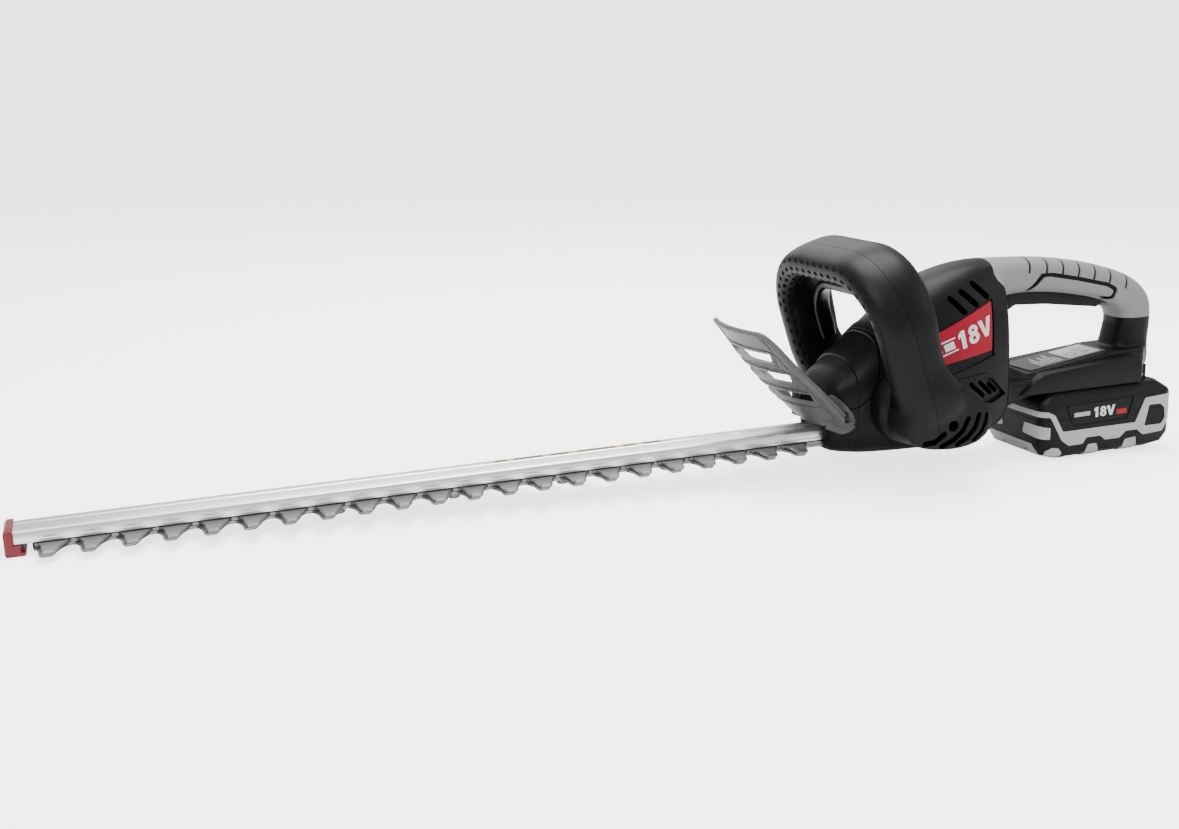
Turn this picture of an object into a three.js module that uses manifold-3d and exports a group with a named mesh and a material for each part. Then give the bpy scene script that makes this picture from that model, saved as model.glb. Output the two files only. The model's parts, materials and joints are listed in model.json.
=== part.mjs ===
// Cordless hedge trimmer, built as an assembly of separate solids.
// Millimetres. Everything is drawn in the tool frame and then turned nose-down as it rests:
//   +X runs back from the blade tip towards the battery, x = 0 where the bar enters the nose
//   +Y is the user's right-hand side, y = 0 the mid-plane
//   +Z is up, z = 0 the underside of the guide bar
import * as THREE from 'three';
import { mergeVertices } from 'three/addons/utils/BufferGeometryUtils.js';
import Module from 'manifold-3d';

const wasm = await Module();
wasm.setup();

// ---------------------------------------------------------------- driving dimensions
const GAP = 0.3;                 // clearance kept between touching pieces

const BAR_FRONT = -576;          // front end of the guide bar
const BAR_REAR = 20;             // rear end of the bar, inside the gear case
const BAR_HALF_WIDTH = 14;
const BAR_HEIGHT = 9;

const TOOTH_PITCH = 25;
const TOOTH_COUNT = 22;          // teeth on each side of each blade
const FIRST_TOOTH = -553;        // centre of the tooth nearest the tip
const TOOTH_REACH = 21;          // how far a tooth stands out beyond the spine
const BLADE_THICKNESS = 2;
const UPPER_BLADE_TOP = -0.35;
const LOWER_BLADE_TOP = UPPER_BLADE_TOP - BLADE_THICKNESS - GAP;
const BLADE_STROKE = 6.25;       // travel each way from the middle
const LOWER_BLADE_SHIFT = -1.5;   // its teeth lie this far ahead of the upper blade's
const YOKE_REACH = 22.4;          // half the length of the window that the eccentric turns in
const BOLT_COUNT = 6;
const FIRST_BOLT = -451;
const BOLT_SPACING = 81;

const CRANK_X = 50;
const GEAR_MODULE = 1.4;
const GEAR_TEETH = 32;
const PINION_TEETH = 8;
const MOTOR_X = CRANK_X + (GEAR_MODULE * (GEAR_TEETH + PINION_TEETH)) / 2;
const GEAR_BOTTOM = 1.5;
const GEAR_TOP = 9.5;
const SHAFT_RADIUS = 3;

const WALL = 2.4;                // casing wall thickness
const NOSE_SPLIT = 15;           // where the nose cover meets the clamshell

const LOOP_BASE_X = 57;          // front handle, where its mid-plane crosses z = 0
const LOOP_LEAN = Math.atan(0.32);
const LOOP_HALF_SPAN = 74;       // mid-line of each upright from the mid-plane
const LOOP_TOP = 138;            // mid-line of the cross-bar, measured up the leaning plane
const LOOP_HALF_DEPTH = 22;
const LOOP_HALF_THICK = 14;

const BATTERY_X = 241;           // middle of the battery pack
const BATTERY_HALF_LENGTH = 63;
const BATTERY_HALF_WIDTH = 38;
const BATTERY_BOTTOM = -35;
const BATTERY_SPLIT = -2;
const BATTERY_SHOULDER = 12;
const BATTERY_TOP = 19;

// The tool rests on the foot of the tip guard and on the front lower edge of the battery.
const TIP_FOOT = { x: -582, z: -7.4 };
const BATTERY_EDGE = { x: BATTERY_X - BATTERY_HALF_LENGTH + 15, z: BATTERY_BOTTOM };
const REST_PITCH = Math.atan2(TIP_FOOT.z - BATTERY_EDGE.z, BATTERY_EDGE.x - TIP_FOOT.x);

// ---------------------------------------------------------------- finishes
const FINISHES = {
  blackPlastic: { color: 0x1d1d1e, roughness: 0.5, metalness: 0 },
  blackRubber: { color: 0x161617, roughness: 0.75, metalness: 0 },
  greyRubber: { color: 0x8a8683, roughness: 0.7, metalness: 0 },
  redPlastic: { color: 0xac243a, roughness: 0.4, metalness: 0 },
  smokedPlastic: { color: 0x6c6966, roughness: 0.25, metalness: 0, transparent: true, opacity: 0.8 },
  aluminium: { color: 0xd5d7da, roughness: 0.3, metalness: 1 },
  castAluminium: { color: 0x9b9d9f, roughness: 0.6, metalness: 1 },
  groundSteel: { color: 0x979390, roughness: 0.35, metalness: 1 },
  hardSteel: { color: 0x77777a, roughness: 0.3, metalness: 1 },
  copperWound: { color: 0x8a5a34, roughness: 0.5, metalness: 0.6 },
  ferrite: { color: 0x2c2c2e, roughness: 0.9, metalness: 0 },
  circuitBoard: { color: 0x1f5a35, roughness: 0.6, metalness: 0 },
  cellWrap: { color: 0x2f6fa8, roughness: 0.4, metalness: 0.1 },
  labelFilm: { color: 0xb9b9bb, roughness: 0.5, metalness: 0 },
};

// ---------------------------------------------------------------- solid helpers
const ALONG_Y = new THREE.Vector3(0, 1, 0);
const ALONG_Z = new THREE.Vector3(0, 0, 1);

function point(x, y, z) {
  return new THREE.Vector3(x, y, z);
}

function toSolid(geometry) {
  const bare = geometry.clone();
  bare.deleteAttribute('normal');
  bare.deleteAttribute('uv');
  const merged = mergeVertices(bare, 1e-4);
  return new wasm.Manifold(new wasm.Mesh({
    numProp: 3,
    vertProperties: new Float32Array(merged.attributes.position.array),
    triVerts: new Uint32Array(merged.index.array),
  }));
}

function toGeometry(solid) {
  const mesh = solid.getMesh();
  const geometry = new THREE.BufferGeometry();
  geometry.setAttribute('position', new THREE.BufferAttribute(mesh.vertProperties, 3));
  geometry.setIndex(new THREE.BufferAttribute(mesh.triVerts, 1));
  geometry.computeVertexNormals();
  return geometry;
}

function box(x0, x1, y0, y1, z0, z1) {
  const geometry = new THREE.BoxGeometry(x1 - x0, y1 - y0, z1 - z0);
  geometry.translate((x0 + x1) / 2, (y0 + y1) / 2, (z0 + z1) / 2);
  return toSolid(geometry);
}

// A cylinder standing along Z, from z0 to z1.
function post(x, y, radius, z0, z1, sides = 14) {
  const geometry = new THREE.CylinderGeometry(radius, radius, z1 - z0, sides);
  geometry.rotateX(Math.PI / 2);
  geometry.translate(x, y, (z0 + z1) / 2);
  return toSolid(geometry);
}

// A cylinder lying across the tool along Y, from y0 to y1.
function crossPin(x, z, radius, y0, y1, sides = 10) {
  const geometry = new THREE.CylinderGeometry(radius, radius, y1 - y0, sides);
  geometry.translate(x, (y0 + y1) / 2, z);
  return toSolid(geometry);
}

// A turned piece about a vertical axis. The profile is [radius, height] pairs.
function turned(x, y, profile, sides = 16) {
  const points = profile.map(([radius, height]) => new THREE.Vector2(radius, height));
  const geometry = new THREE.LatheGeometry(points, sides);
  geometry.rotateX(Math.PI / 2);
  geometry.translate(x, y, 0);
  const solid = toSolid(geometry);
  return solid.volume() > 0 ? solid : toSolid(flipped(geometry));
}

function flipped(geometry) {
  const turnedOut = geometry.clone();
  const index = turnedOut.index.array;
  for (let i = 0; i < index.length; i += 3) {
    const keep = index[i];
    index[i] = index[i + 1];
    index[i + 1] = keep;
  }
  return turnedOut;
}

// A side view outline of [x, z] pairs, made solid from y0 to y1.
function sideCut(outline, y0, y1) {
  const shape = new THREE.Shape(outline.map(([x, z]) => new THREE.Vector2(x, z)));
  const geometry = new THREE.ExtrudeGeometry(shape, { depth: y1 - y0, bevelEnabled: false });
  geometry.rotateX(Math.PI / 2);
  geometry.translate(0, y1, 0);
  return toSolid(geometry);
}

// A plan view outline of [x, y] pairs, made solid from z0 to z1.
function planCut(outline, z0, z1) {
  const shape = new THREE.Shape(outline.map(([x, y]) => new THREE.Vector2(x, y)));
  const geometry = new THREE.ExtrudeGeometry(shape, { depth: z1 - z0, bevelEnabled: false });
  geometry.translate(0, 0, z0);
  return toSolid(geometry);
}

// A skin through a row of rings with equal counts, closed by a fan at each end.
function loft(rings) {
  const count = rings[0].length;
  const positions = rings.flat().flatMap((p) => [p.x, p.y, p.z]);
  const index = [];
  for (let r = 0; r < rings.length - 1; r += 1) {
    for (let i = 0; i < count; i += 1) {
      const a = r * count + i;
      const b = r * count + ((i + 1) % count);
      index.push(a, b, b + count, a, b + count, a + count);
    }
  }
  const lastStart = (rings.length - 1) * count;
  for (const [ring, start, reversed] of [[rings[0], 0, true], [rings.at(-1), lastStart, false]]) {
    const middle = ring.reduce((sum, p) => sum.add(p), point(0, 0, 0)).divideScalar(count);
    const hub = positions.length / 3;
    positions.push(middle.x, middle.y, middle.z);
    for (let i = 0; i < count; i += 1) {
      const a = start + i;
      const b = start + ((i + 1) % count);
      index.push(...(reversed ? [b, a, hub] : [a, b, hub]));
    }
  }
  const geometry = new THREE.BufferGeometry();
  geometry.setAttribute('position', new THREE.Float32BufferAttribute(positions, 3));
  geometry.setIndex(index);
  const solid = toSolid(geometry);
  return solid.volume() > 0 ? solid : toSolid(flipped(geometry));
}

// A rounded outline: a superellipse whose upper and lower halves may differ in height and squareness.
function oval({ at, side, up, wide, above, below, squareAbove = 2.4, squareBelow = squareAbove, count = 20 }) {
  return Array.from({ length: count }, (_, i) => {
    const angle = (2 * Math.PI * i) / count;
    const across = Math.cos(angle);
    const rise = Math.sin(angle);
    const square = rise >= 0 ? squareAbove : squareBelow;
    const reach = rise >= 0 ? above : below;
    const u = wide * Math.sign(across) * Math.abs(across) ** (2 / square);
    const v = reach * Math.sign(rise) * Math.abs(rise) ** (2 / square);
    return at.clone().addScaledVector(side, u).addScaledVector(up, v);
  });
}

// ---------------------------------------------------------------- cutter bar
function guideBar() {
  const crown = 3;
  const half = BAR_HALF_WIDTH;
  const shape = new THREE.Shape();
  shape.moveTo(-half, 0);
  shape.lineTo(-4.5, 0);
  shape.lineTo(-4.5, 2.6);
  shape.lineTo(4.5, 2.6);
  shape.lineTo(4.5, 0);
  shape.lineTo(half, 0);
  shape.lineTo(half, BAR_HEIGHT - crown);
  shape.quadraticCurveTo(half, BAR_HEIGHT, half - crown, BAR_HEIGHT);
  shape.lineTo(-half + crown, BAR_HEIGHT);
  shape.quadraticCurveTo(-half, BAR_HEIGHT, -half, BAR_HEIGHT - crown);
  const geometry = new THREE.ExtrudeGeometry(shape, {
    depth: BAR_REAR - BAR_FRONT,
    bevelEnabled: false,
    curveSegments: 3,
  });
  geometry.rotateX(Math.PI / 2);
  geometry.rotateZ(Math.PI / 2);
  geometry.translate(BAR_FRONT, 0, 0);
  return toSolid(geometry);
}

// One side's teeth, from the tip backwards: raked a little towards the tip.
function toothEdge(side, shift) {
  const edge = [];
  const rake = -2;
  for (let i = 0; i < TOOTH_COUNT; i += 1) {
    const x = FIRST_TOOTH + TOOTH_PITCH * i + shift;
    edge.push([x - 8, side * BAR_HALF_WIDTH]);
    edge.push([x - 3.2 + rake, side * (BAR_HALF_WIDTH + TOOTH_REACH)]);
    edge.push([x + 3.2 + rake, side * (BAR_HALF_WIDTH + TOOTH_REACH)]);
    edge.push([x + 8, side * BAR_HALF_WIDTH]);
  }
  return edge;
}

// A blade: toothed spine, long slots for the guide bolts and a yoke window for the eccentric.
function blade(top, shift) {
  const front = FIRST_TOOTH - 9.5;
  const yokeFront = CRANK_X - YOKE_REACH - 3.5;
  const yokeRear = CRANK_X + YOKE_REACH + 3.8;
  const near = toothEdge(-1, shift);
  const far = toothEdge(1, shift).reverse();
  const outline = [
    [front, -BAR_HALF_WIDTH + 2],
    ...near,
    [yokeFront - 6, -BAR_HALF_WIDTH],
    [yokeFront + 2, -20],
    [yokeRear, -20],
    [yokeRear, 20],
    [yokeFront + 2, 20],
    [yokeFront - 6, BAR_HALF_WIDTH],
    ...far,
    [front, BAR_HALF_WIDTH - 2],
  ];
  const slotReach = BLADE_STROKE + 3.1;
  const bottom = top - BLADE_THICKNESS;
  let plate = planCut(outline, bottom, top);
  for (const x of boltPlaces()) {
    plate = plate.subtract(box(x - slotReach, x + slotReach, -2.9, 2.9, bottom - 1, top + 1));
  }
  return plate.subtract(box(CRANK_X - YOKE_REACH, CRANK_X + YOKE_REACH, -16.4, 16.4, bottom - 1, top + 1));
}

function boltPlaces() {
  return Array.from({ length: BOLT_COUNT }, (_, i) => FIRST_BOLT + BOLT_SPACING * i);
}

function rectangle(x0, x1, y0, y1) {
  return [[x0, y0], [x0, y1], [x1, y1], [x1, y0]];
}

function tipGuard() {
  const front = TIP_FOOT.x;
  const outline = [
    [front, TIP_FOOT.z], [front + 12.6, TIP_FOOT.z], [front + 12.6, -GAP], [BAR_FRONT - GAP, -GAP],
    [BAR_FRONT - GAP, BAR_HEIGHT + 0.4], [front + 2, BAR_HEIGHT + 0.4], [front, BAR_HEIGHT - 2],
  ];
  return sideCut(outline, -16, 16);
}

// Shouldered bolt with a round head under the lower blade.
function bladeBolt(x) {
  const underside = LOWER_BLADE_TOP - BLADE_THICKNESS - GAP;
  return turned(x, 0, [[0, underside - 4], [3.4, underside - 4], [4.6, underside - 3], [4.6, underside],
    [2.6, underside], [2.6, 2.2], [0, 2.2]], 8);
}

// ---------------------------------------------------------------- gear train
// A toothed wheel outline about (x, y), four points to a tooth.
function gearOutline(x, y, teeth, phase) {
  const pitchRadius = (GEAR_MODULE * teeth) / 2;
  const outer = pitchRadius + GEAR_MODULE * 0.85;
  const root = pitchRadius - GEAR_MODULE * 1.1;
  const outline = [];
  for (let i = 0; i < teeth; i += 1) {
    const middle = phase + (2 * Math.PI * i) / teeth;
    const step = (2 * Math.PI) / teeth;
    for (const [turn, radius] of [[-0.3, root], [-0.13, outer], [0.13, outer], [0.3, root]]) {
      const angle = middle + turn * step;
      outline.push([x + radius * Math.cos(angle), y + radius * Math.sin(angle)]);
    }
  }
  return outline;
}

function crankGear() {
  const lowerTop = LOWER_BLADE_TOP - 0.1;
  const lowerBottom = LOWER_BLADE_TOP - BLADE_THICKNESS + 0.1;
  const wheel = planCut(gearOutline(CRANK_X, 0, GEAR_TEETH, Math.PI / GEAR_TEETH), GEAR_BOTTOM, GEAR_TOP);
  const upperEccentric = post(CRANK_X + BLADE_STROKE, 0, 9.5, UPPER_BLADE_TOP - 1.9, UPPER_BLADE_TOP - 0.1);
  const lowerEccentric = post(CRANK_X - BLADE_STROKE, 0, 9.5, lowerBottom, lowerTop);
  const hub = post(CRANK_X, 0, 8.5, lowerBottom, GEAR_BOTTOM + 1);
  const bore = post(CRANK_X, 0, 6, lowerBottom - 5, GEAR_TOP + 5);
  return wheel.add(upperEccentric).add(lowerEccentric).add(hub).subtract(bore);
}

function ring(x, outer, inner, z0, z1, sides = 14) {
  return post(x, 0, outer, z0, z1, sides).subtract(post(x, 0, inner, z0 - 1, z1 + 1, sides));
}

function gearCase() {
  const outer = planCut(rectangle(21.5, 93, -26, 26), -6, 14);
  const inner = planCut(rectangle(24, 90.5, -24.4, 24.4), -7, 11.5);
  const tongue = box(3, 24, -11, 11, BAR_HEIGHT + GAP, 12.5);
  const bladeWay = box(10, 30, -20.8, 20.8, -7, 0.4);
  const shaftHole = post(CRANK_X, 0, SHAFT_RADIUS + GAP, 8, 20);
  const pinionHole = post(MOTOR_X, 0, 6, 8, 20);
  return outer.subtract(inner).add(tongue).subtract(bladeWay).subtract(shaftHole).subtract(pinionHole);
}

function gearCasePlate() {
  return box(27, 91.5, -20, 20, -8.3, -6.3).subtract(post(CRANK_X, 0, SHAFT_RADIUS + GAP, -10, -5));
}

function motorPinion() {
  const outline = gearOutline(MOTOR_X, 0, PINION_TEETH, 0);
  return planCut(outline, GEAR_BOTTOM, GEAR_TOP).subtract(post(MOTOR_X, 0, 2.6, 0, 20));
}

function motorFan() {
  let fan = post(MOTOR_X, 0, 16, 15.5, 17, 18).add(post(MOTOR_X, 0, 5, 15.5, 21.5, 9));
  for (let i = 0; i < 6; i += 1) {
    const vane = box(4, 15.5, -0.6, 0.6, 16, 21.5).rotate([0, 0, 60 * i]).translate([MOTOR_X, 0, 0]);
    fan = fan.add(vane);
  }
  return fan.subtract(post(MOTOR_X, 0, 2.6, 10, 30));
}

function motorCan() {
  return post(MOTOR_X, 0, 18, 24, 78, 18).subtract(post(MOTOR_X, 0, 16.6, 26, 90, 18))
    .subtract(post(MOTOR_X, 0, 4.5, 20, 30));
}

function motorArmature() {
  let core = post(MOTOR_X, 0, 12, 34, 66, 15);
  for (let i = 0; i < 5; i += 1) {
    const slot = box(8, 14, -0.9, 0.9, 30, 70).rotate([0, 0, 72 * i]).translate([MOTOR_X, 0, 0]);
    core = core.subtract(slot);
  }
  return core.subtract(post(MOTOR_X, 0, 2.6, 30, 70));
}

function motorMagnet(side) {
  const arc = post(MOTOR_X, 0, 15.9, 32, 70, 18).subtract(post(MOTOR_X, 0, 13, 30, 72, 18));
  return arc.intersect(box(MOTOR_X - 12, MOTOR_X + 12, side > 0 ? 5 : -20, side > 0 ? 20 : -5, 30, 72));
}

function motorEndBell() {
  return post(MOTOR_X, 0, 18, 78.3, 88, 18).subtract(post(MOTOR_X, 0, 14, 77, 84))
    .subtract(post(MOTOR_X, 0, 4.5, 70, 95));
}

// ---------------------------------------------------------------- casing
// Pod sections: [x, underside, crown, half width]. The widest line runs at WAIST height.
const POD_SECTIONS = [
  [-5, -7.5, 43, 25],
  [3, -9.5, 52, 30],
  [20, -11.5, 67, 36],
  [42, -12.5, 86, 39.5],
  [64, -13, 103, 41.5],
  [86, -13, 116, 42.5],
  [112, -11.5, 123.5, 42],
  [132, -8, 126, 39],
  [146, 0, 126, 35],
  [152, 10, 124, 31],
];
const WAIST = 32;

// The pod's outer skin moved inwards by `inset` (outwards when negative).
function pod(inset, count = 20) {
  const rings = POD_SECTIONS.map(([x, low, high, wide], i) => {
    const end = i === 0 ? inset : i === POD_SECTIONS.length - 1 ? -inset : 0;
    return oval({
      at: point(x + end, 0, WAIST),
      side: ALONG_Y,
      up: ALONG_Z,
      wide: wide - inset,
      above: high - WAIST - inset,
      below: WAIST - low - inset,
      squareAbove: 2.5,
      squareBelow: 5,
      count,
    });
  });
  return loft(rings);
}

// Rear handle mid-line: [x, z, half thickness, half width], from inside the pod to inside the foot.
const HANDLE_SECTIONS = [
  [118, 101, 20, 25],
  [140, 108, 17.5, 22],
  [165, 110.5, 14.5, 18],
  [195, 109, 14, 17],
  [225, 104.5, 14, 17],
  [250, 98.5, 14, 17],
  [270.5, 90, 15.2, 17],
  [282.5, 79, 16.5, 17],
  [284.8, 66, 16, 17],
  [283, 52, 17, 17],
  [281, 36, 19, 18],
];

function rearHandle(inset, count = 12) {
  const rings = HANDLE_SECTIONS.map(([x, z, thick, wide], i) => {
    const before = HANDLE_SECTIONS[Math.max(i - 1, 0)];
    const after = HANDLE_SECTIONS[Math.min(i + 1, HANDLE_SECTIONS.length - 1)];
    const along = point(after[0] - before[0], 0, after[1] - before[1]).normalize();
    const up = point(-along.z, 0, along.x);
    return oval({
      at: point(x, 0, z), side: ALONG_Y, up, wide: wide - inset,
      above: thick - inset, below: thick - inset, squareAbove: 2.7, count,
    });
  });
  return loft(rings);
}

const FOOT_RIDGE = [
  [132, 60], [150, 47], [174, 36], [254, 46.5], [292, 46.5], [296, 40], [294, 22], [180, 22], [150, 21], [132, 16],
];
const FOOT_SKIRT = [
  [160, 20], [175, 31], [183, 34.5], [268, 42], [274, 37.5], [292, 33], [292, BATTERY_TOP + 0.6],
  [168, BATTERY_TOP + 0.6],
];

// The battery channel: a wide groove over two lips.
function batteryChannel() {
  return box(184, 330, -24.5, 24.5, 22.8, 31).add(box(184, 330, -20.5, 20.5, 10, 24));
}

function foot() {
  return sideCut(FOOT_RIDGE, -24, 24).add(sideCut(FOOT_SKIRT, -33, 33)).subtract(batteryChannel());
}

const TRIGGER_SLOT = box(160, 260.5, -10, 10, 70, 106);
const BLADE_PASSAGE = box(-30, 24, -17, 17, -5.2, BAR_HEIGHT + GAP);

// Housing screws enter from the right-hand side: [x, z, depth of the head's seat].
const HOUSING_SCREWS = [
  [40, 60, 22],
  [112, 4, 30],
  [136, 30, 24],
  [128, 108, 12],
  [283, 66, 8],
];

const GRIP_SKIN = 2.2;
const GRIP_FRONT = 143;          // the soft grip starts here and ends part way down the rear post
const GRIP_END = 69;

function gripZone(margin) {
  const zone = [
    [GRIP_FRONT - 3 - margin, 140], [GRIP_FRONT - 3 - margin, 118], [GRIP_FRONT + 1 - margin, 110],
    [GRIP_FRONT + 12 - margin, 98], [GRIP_FRONT + 14 - margin, 84], [240, 60], [240, GRIP_END - margin],
    [330, GRIP_END - margin], [330, 140],
  ];
  return sideCut(zone, -60, 60);
}

// The clamshell before it is split: a hollow pod, handle and foot with vents and a trigger slot.
function clamshell() {
  const ventTilt = 47;
  let outer = pod(0).add(rearHandle(0)).add(foot());
  outer = outer.subtract(rearHandle(-1).subtract(rearHandle(GRIP_SKIN)).intersect(gripZone(GAP)));
  let bosses = box(0, 1, 0, 1, -500, -499);
  for (const [x, z] of HOUSING_SCREWS) {
    bosses = bosses.add(crossPin(x, z, 6, -60, 60));
  }
  const podVoid = pod(WALL, 14).subtract(bosses);
  const handleVoid = rearHandle(GRIP_SKIN + WALL, 8).subtract(bosses);
  let shell = outer.subtract(podVoid).subtract(handleVoid);
  shell = shell.subtract(batteryChannel()).subtract(TRIGGER_SLOT).subtract(BLADE_PASSAGE);
  for (const [x, z] of [[98, 97], [109.5, 102], [121, 107]]) {
    const slot = box(-10, 10, -60, 60, -2.2, 2.2).rotate([0, ventTilt, 0]).translate([x, 0, z]);
    shell = shell.subtract(slot.subtract(box(0, 200, -20, 20, 0, 200)));
  }
  for (const [x, z, seat] of HOUSING_SCREWS) {
    shell = shell.subtract(crossPin(x, z, 4.2, seat, 60)).subtract(crossPin(x, z, 2.2, -seat + 4, 60, 8));
  }
  return shell;
}

function housingScrew([x, z, seat]) {
  return crossPin(x, z, 3.7, seat + GAP, seat + 3).add(crossPin(x, z, 1.8, -seat + 6, seat + 1, 8));
}

function noseCover() {
  const front = box(-60, NOSE_SPLIT - GAP, -80, 80, -60, 120);
  const holes = crossPin(2, 22, 2, -60, 60, 8);
  return pod(0).subtract(pod(WALL, 14)).intersect(front).subtract(BLADE_PASSAGE).subtract(holes)
    .subtract(box(-30, NOSE_SPLIT, -11.5, 11.5, 5, 13));
}

// ---------------------------------------------------------------- front handle
const LOOP_UP = point(-Math.sin(LOOP_LEAN), 0, Math.cos(LOOP_LEAN));
const LOOP_BACK = point(Math.cos(LOOP_LEAN), 0, Math.sin(LOOP_LEAN));

function onLoop(y, rise, back = 0) {
  return point(LOOP_BASE_X, y, 0).addScaledVector(LOOP_UP, rise).addScaledVector(LOOP_BACK, back);
}

// An arch: two uprights joined by a rounded top. Returns stations from the left foot to the right foot.
function archStations(span, top, bottom, radius, cornerSteps) {
  const halfway = (bottom + top - radius) / 2;
  const stations = [{ y: -span, rise: bottom, angle: 0 }, { y: -span, rise: halfway, angle: 0 }];
  for (let i = 0; i <= cornerSteps; i += 1) {
    const angle = (Math.PI / 2) * (i / cornerSteps);
    const y = -span + radius * (1 - Math.cos(angle));
    const rise = top - radius * (1 - Math.sin(angle));
    stations.push({ y, rise, angle });
  }
  const rest = stations.map(({ y, rise, angle }) => ({ y: -y, rise, angle: Math.PI - angle })).reverse();
  return [...stations, ...rest];
}

// The foot of each upright, from the pod outwards: [y, rise, turn, set back, half depth, half thickness].
const LOOP_FOOT = [
  [36, 24, -90, 6, 26, 19],
  [58, 22, -80, 8, 30, 19],
  [69, 25, -40, 9, 31, 17],
  [74, 38, -10, 6, 26, 15],
];

function frontLoop(inset, count = 12) {
  const uprights = archStations(LOOP_HALF_SPAN, LOOP_TOP, 60, 56, 4)
    .map((station) => ({ ...station, back: 0, depth: LOOP_HALF_DEPTH, thick: LOOP_HALF_THICK }));
  const left = LOOP_FOOT.map(([y, rise, turn, back, depth, thick]) => (
    { y: -y, rise, angle: THREE.MathUtils.degToRad(turn), back, depth, thick }
  ));
  const right = left.map((station) => ({ ...station, y: -station.y, angle: Math.PI - station.angle })).reverse();
  const rings = [...left, ...uprights, ...right].map(({ y, rise, angle, back, depth, thick }) => {
    const outward = point(0, -Math.cos(angle), 0).addScaledVector(LOOP_UP, Math.sin(angle));
    return oval({
      at: onLoop(y, rise, back), side: LOOP_BACK, up: outward, wide: depth - inset,
      above: thick - inset, below: thick - inset, squareAbove: 3, count,
    });
  });
  return loft(rings);
}

// The round bosses that carry the handle on the sides of the pod.
const DRUM = { x: 51, z: 27, radius: 28 };

function handleDrums(inset) {
  const drum = crossPin(DRUM.x, DRUM.z, DRUM.radius - inset, 36, 55 - inset, 18);
  return drum.add(drum.mirror([0, 1, 0]));
}

// A slab standing in the handle's mid-plane; side -1 keeps what is in front, +1 what is behind.
function loopHalfSpace(side) {
  const slab = box(side > 0 ? GAP / 2 : -200, side > 0 ? 200 : -GAP / 2, -200, 200, -300, 300);
  return slab.rotate([0, -THREE.MathUtils.radToDeg(LOOP_LEAN), 0]).translate([LOOP_BASE_X, 0, 0]);
}

function frontSwitchBar() {
  const rings = archStations(LOOP_HALF_SPAN - LOOP_HALF_THICK - 5.2, LOOP_TOP - LOOP_HALF_THICK - 10.5, 66, 34, 4)
    .map(({ y, rise, angle }) => {
      const outward = point(0, -Math.cos(angle), 0).addScaledVector(LOOP_UP, Math.sin(angle));
      return oval({
        at: onLoop(y, rise, 7), side: LOOP_BACK, up: outward, wide: 9, above: 4, below: 4, squareAbove: 3, count: 12,
      });
    });
  return loft(rings);
}

// ---------------------------------------------------------------- hand shield
// Rows from the bottom up: [x at the middle, z, half width, how far the sides sweep back].
const SHIELD_ROWS = [
  [-10, 12, 37, 18],
  [-23, 24, 44, 19],
  [-43, 46, 48, 17],
  [-58, 65, 47, 13],
  [-69, 82, 44, 9],
  [-75, 90, 39, 7],
];
const SHIELD_THICKNESS = 2.8;

function handShield() {
  const across = 6;
  const rings = SHIELD_ROWS.map(([x, z, half, sweep]) => {
    const front = Array.from({ length: across + 1 }, (_, i) => {
      const t = -1 + (2 * i) / across;
      return point(x + sweep * t * t, half * t, z);
    });
    const back = front.map((p) => p.clone().add(point(SHIELD_THICKNESS, 0, SHIELD_THICKNESS * 0.4))).reverse();
    return [...front, ...back];
  });
  let shield = loft(rings);
  for (const [z, half] of [[39, 35], [55, 33], [71, 30]]) {
    shield = shield.subtract(box(-120, 0, -half, half, z - 4, z + 4));
  }
  const lobe = sideCut([[-8, 12], [2, 8], [9, 10], [11, 17], [4, 30], [-4, 38], [-10, 30]], -40, 40)
    .intersect(pod(-3.2)).subtract(pod(-0.4)).subtract(box(-60, 60, -27, 27, -60, 120));
  const headRoom = crossPin(2, 22, 4.4, 34.2, 60).add(crossPin(2, 22, 4.4, -60, -34.2));
  return shield.add(lobe).subtract(pod(-0.4)).subtract(crossPin(2, 22, 2, -60, 60, 8)).subtract(headRoom);
}

function shieldScrew(side) {
  const screw = crossPin(2, 22, 4, 34.5, 37).add(crossPin(2, 22, 1.7, 20, 35, 8));
  return side > 0 ? screw : screw.mirror([0, 1, 0]);
}

// ---------------------------------------------------------------- grip, trigger, badges
const PANEL_OUTLINE = [
  [176, 97.5], [184, 102.5], [190, 109], [196, 109], [223, 103.5], [250, 97], [257, 93], [255, 88], [230, 91.5],
  [203, 95.5],
];

function gripSkin() {
  return rearHandle(0).subtract(rearHandle(GRIP_SKIN - GAP)).intersect(gripZone(0))
    .subtract(pod(-GAP)).subtract(TRIGGER_SLOT).subtract(box(100, 400, -100, 100, -100, GRIP_END))
    .subtract(crossPin(283, 66, 4.2, 0, 60));
}

function widened(outline, factor) {
  const middleX = outline.reduce((sum, [x]) => sum + x, 0) / outline.length;
  const middleZ = outline.reduce((sum, [, z]) => sum + z, 0) / outline.length;
  return outline.map(([x, z]) => [middleX + (x - middleX) * factor, middleZ + (z - middleZ) * factor * 1.1]);
}

function leftOf(solid) {
  return solid.intersect(box(-700, 400, -200, -GAP / 2, -200, 300));
}

function rightOf(solid) {
  return solid.intersect(box(-700, 400, GAP / 2, 200, -200, 300));
}

const TRIGGER_PIVOT = { x: 167, z: 100 };

function trigger() {
  const outline = [
    [162, 99], [166, 104], [172, 101.5], [203, 96], [233, 92], [256, 87], [256, 84.5], [248, 79.5], [228, 82],
    [199, 85.8], [170, 87.5], [163.5, 84], [160.5, 88],
  ];
  return sideCut(outline, -8.5, 8.5).subtract(crossPin(TRIGGER_PIVOT.x, TRIGGER_PIVOT.z, 2, -20, 20, 10));
}

const BADGE_OUTLINE = [[66, 72], [130, 97.5], [127.5, 61], [72, 52]];

function badge() {
  return sideCut(BADGE_OUTLINE, -60, 60).intersect(pod(-1)).subtract(pod(-GAP));
}

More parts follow.
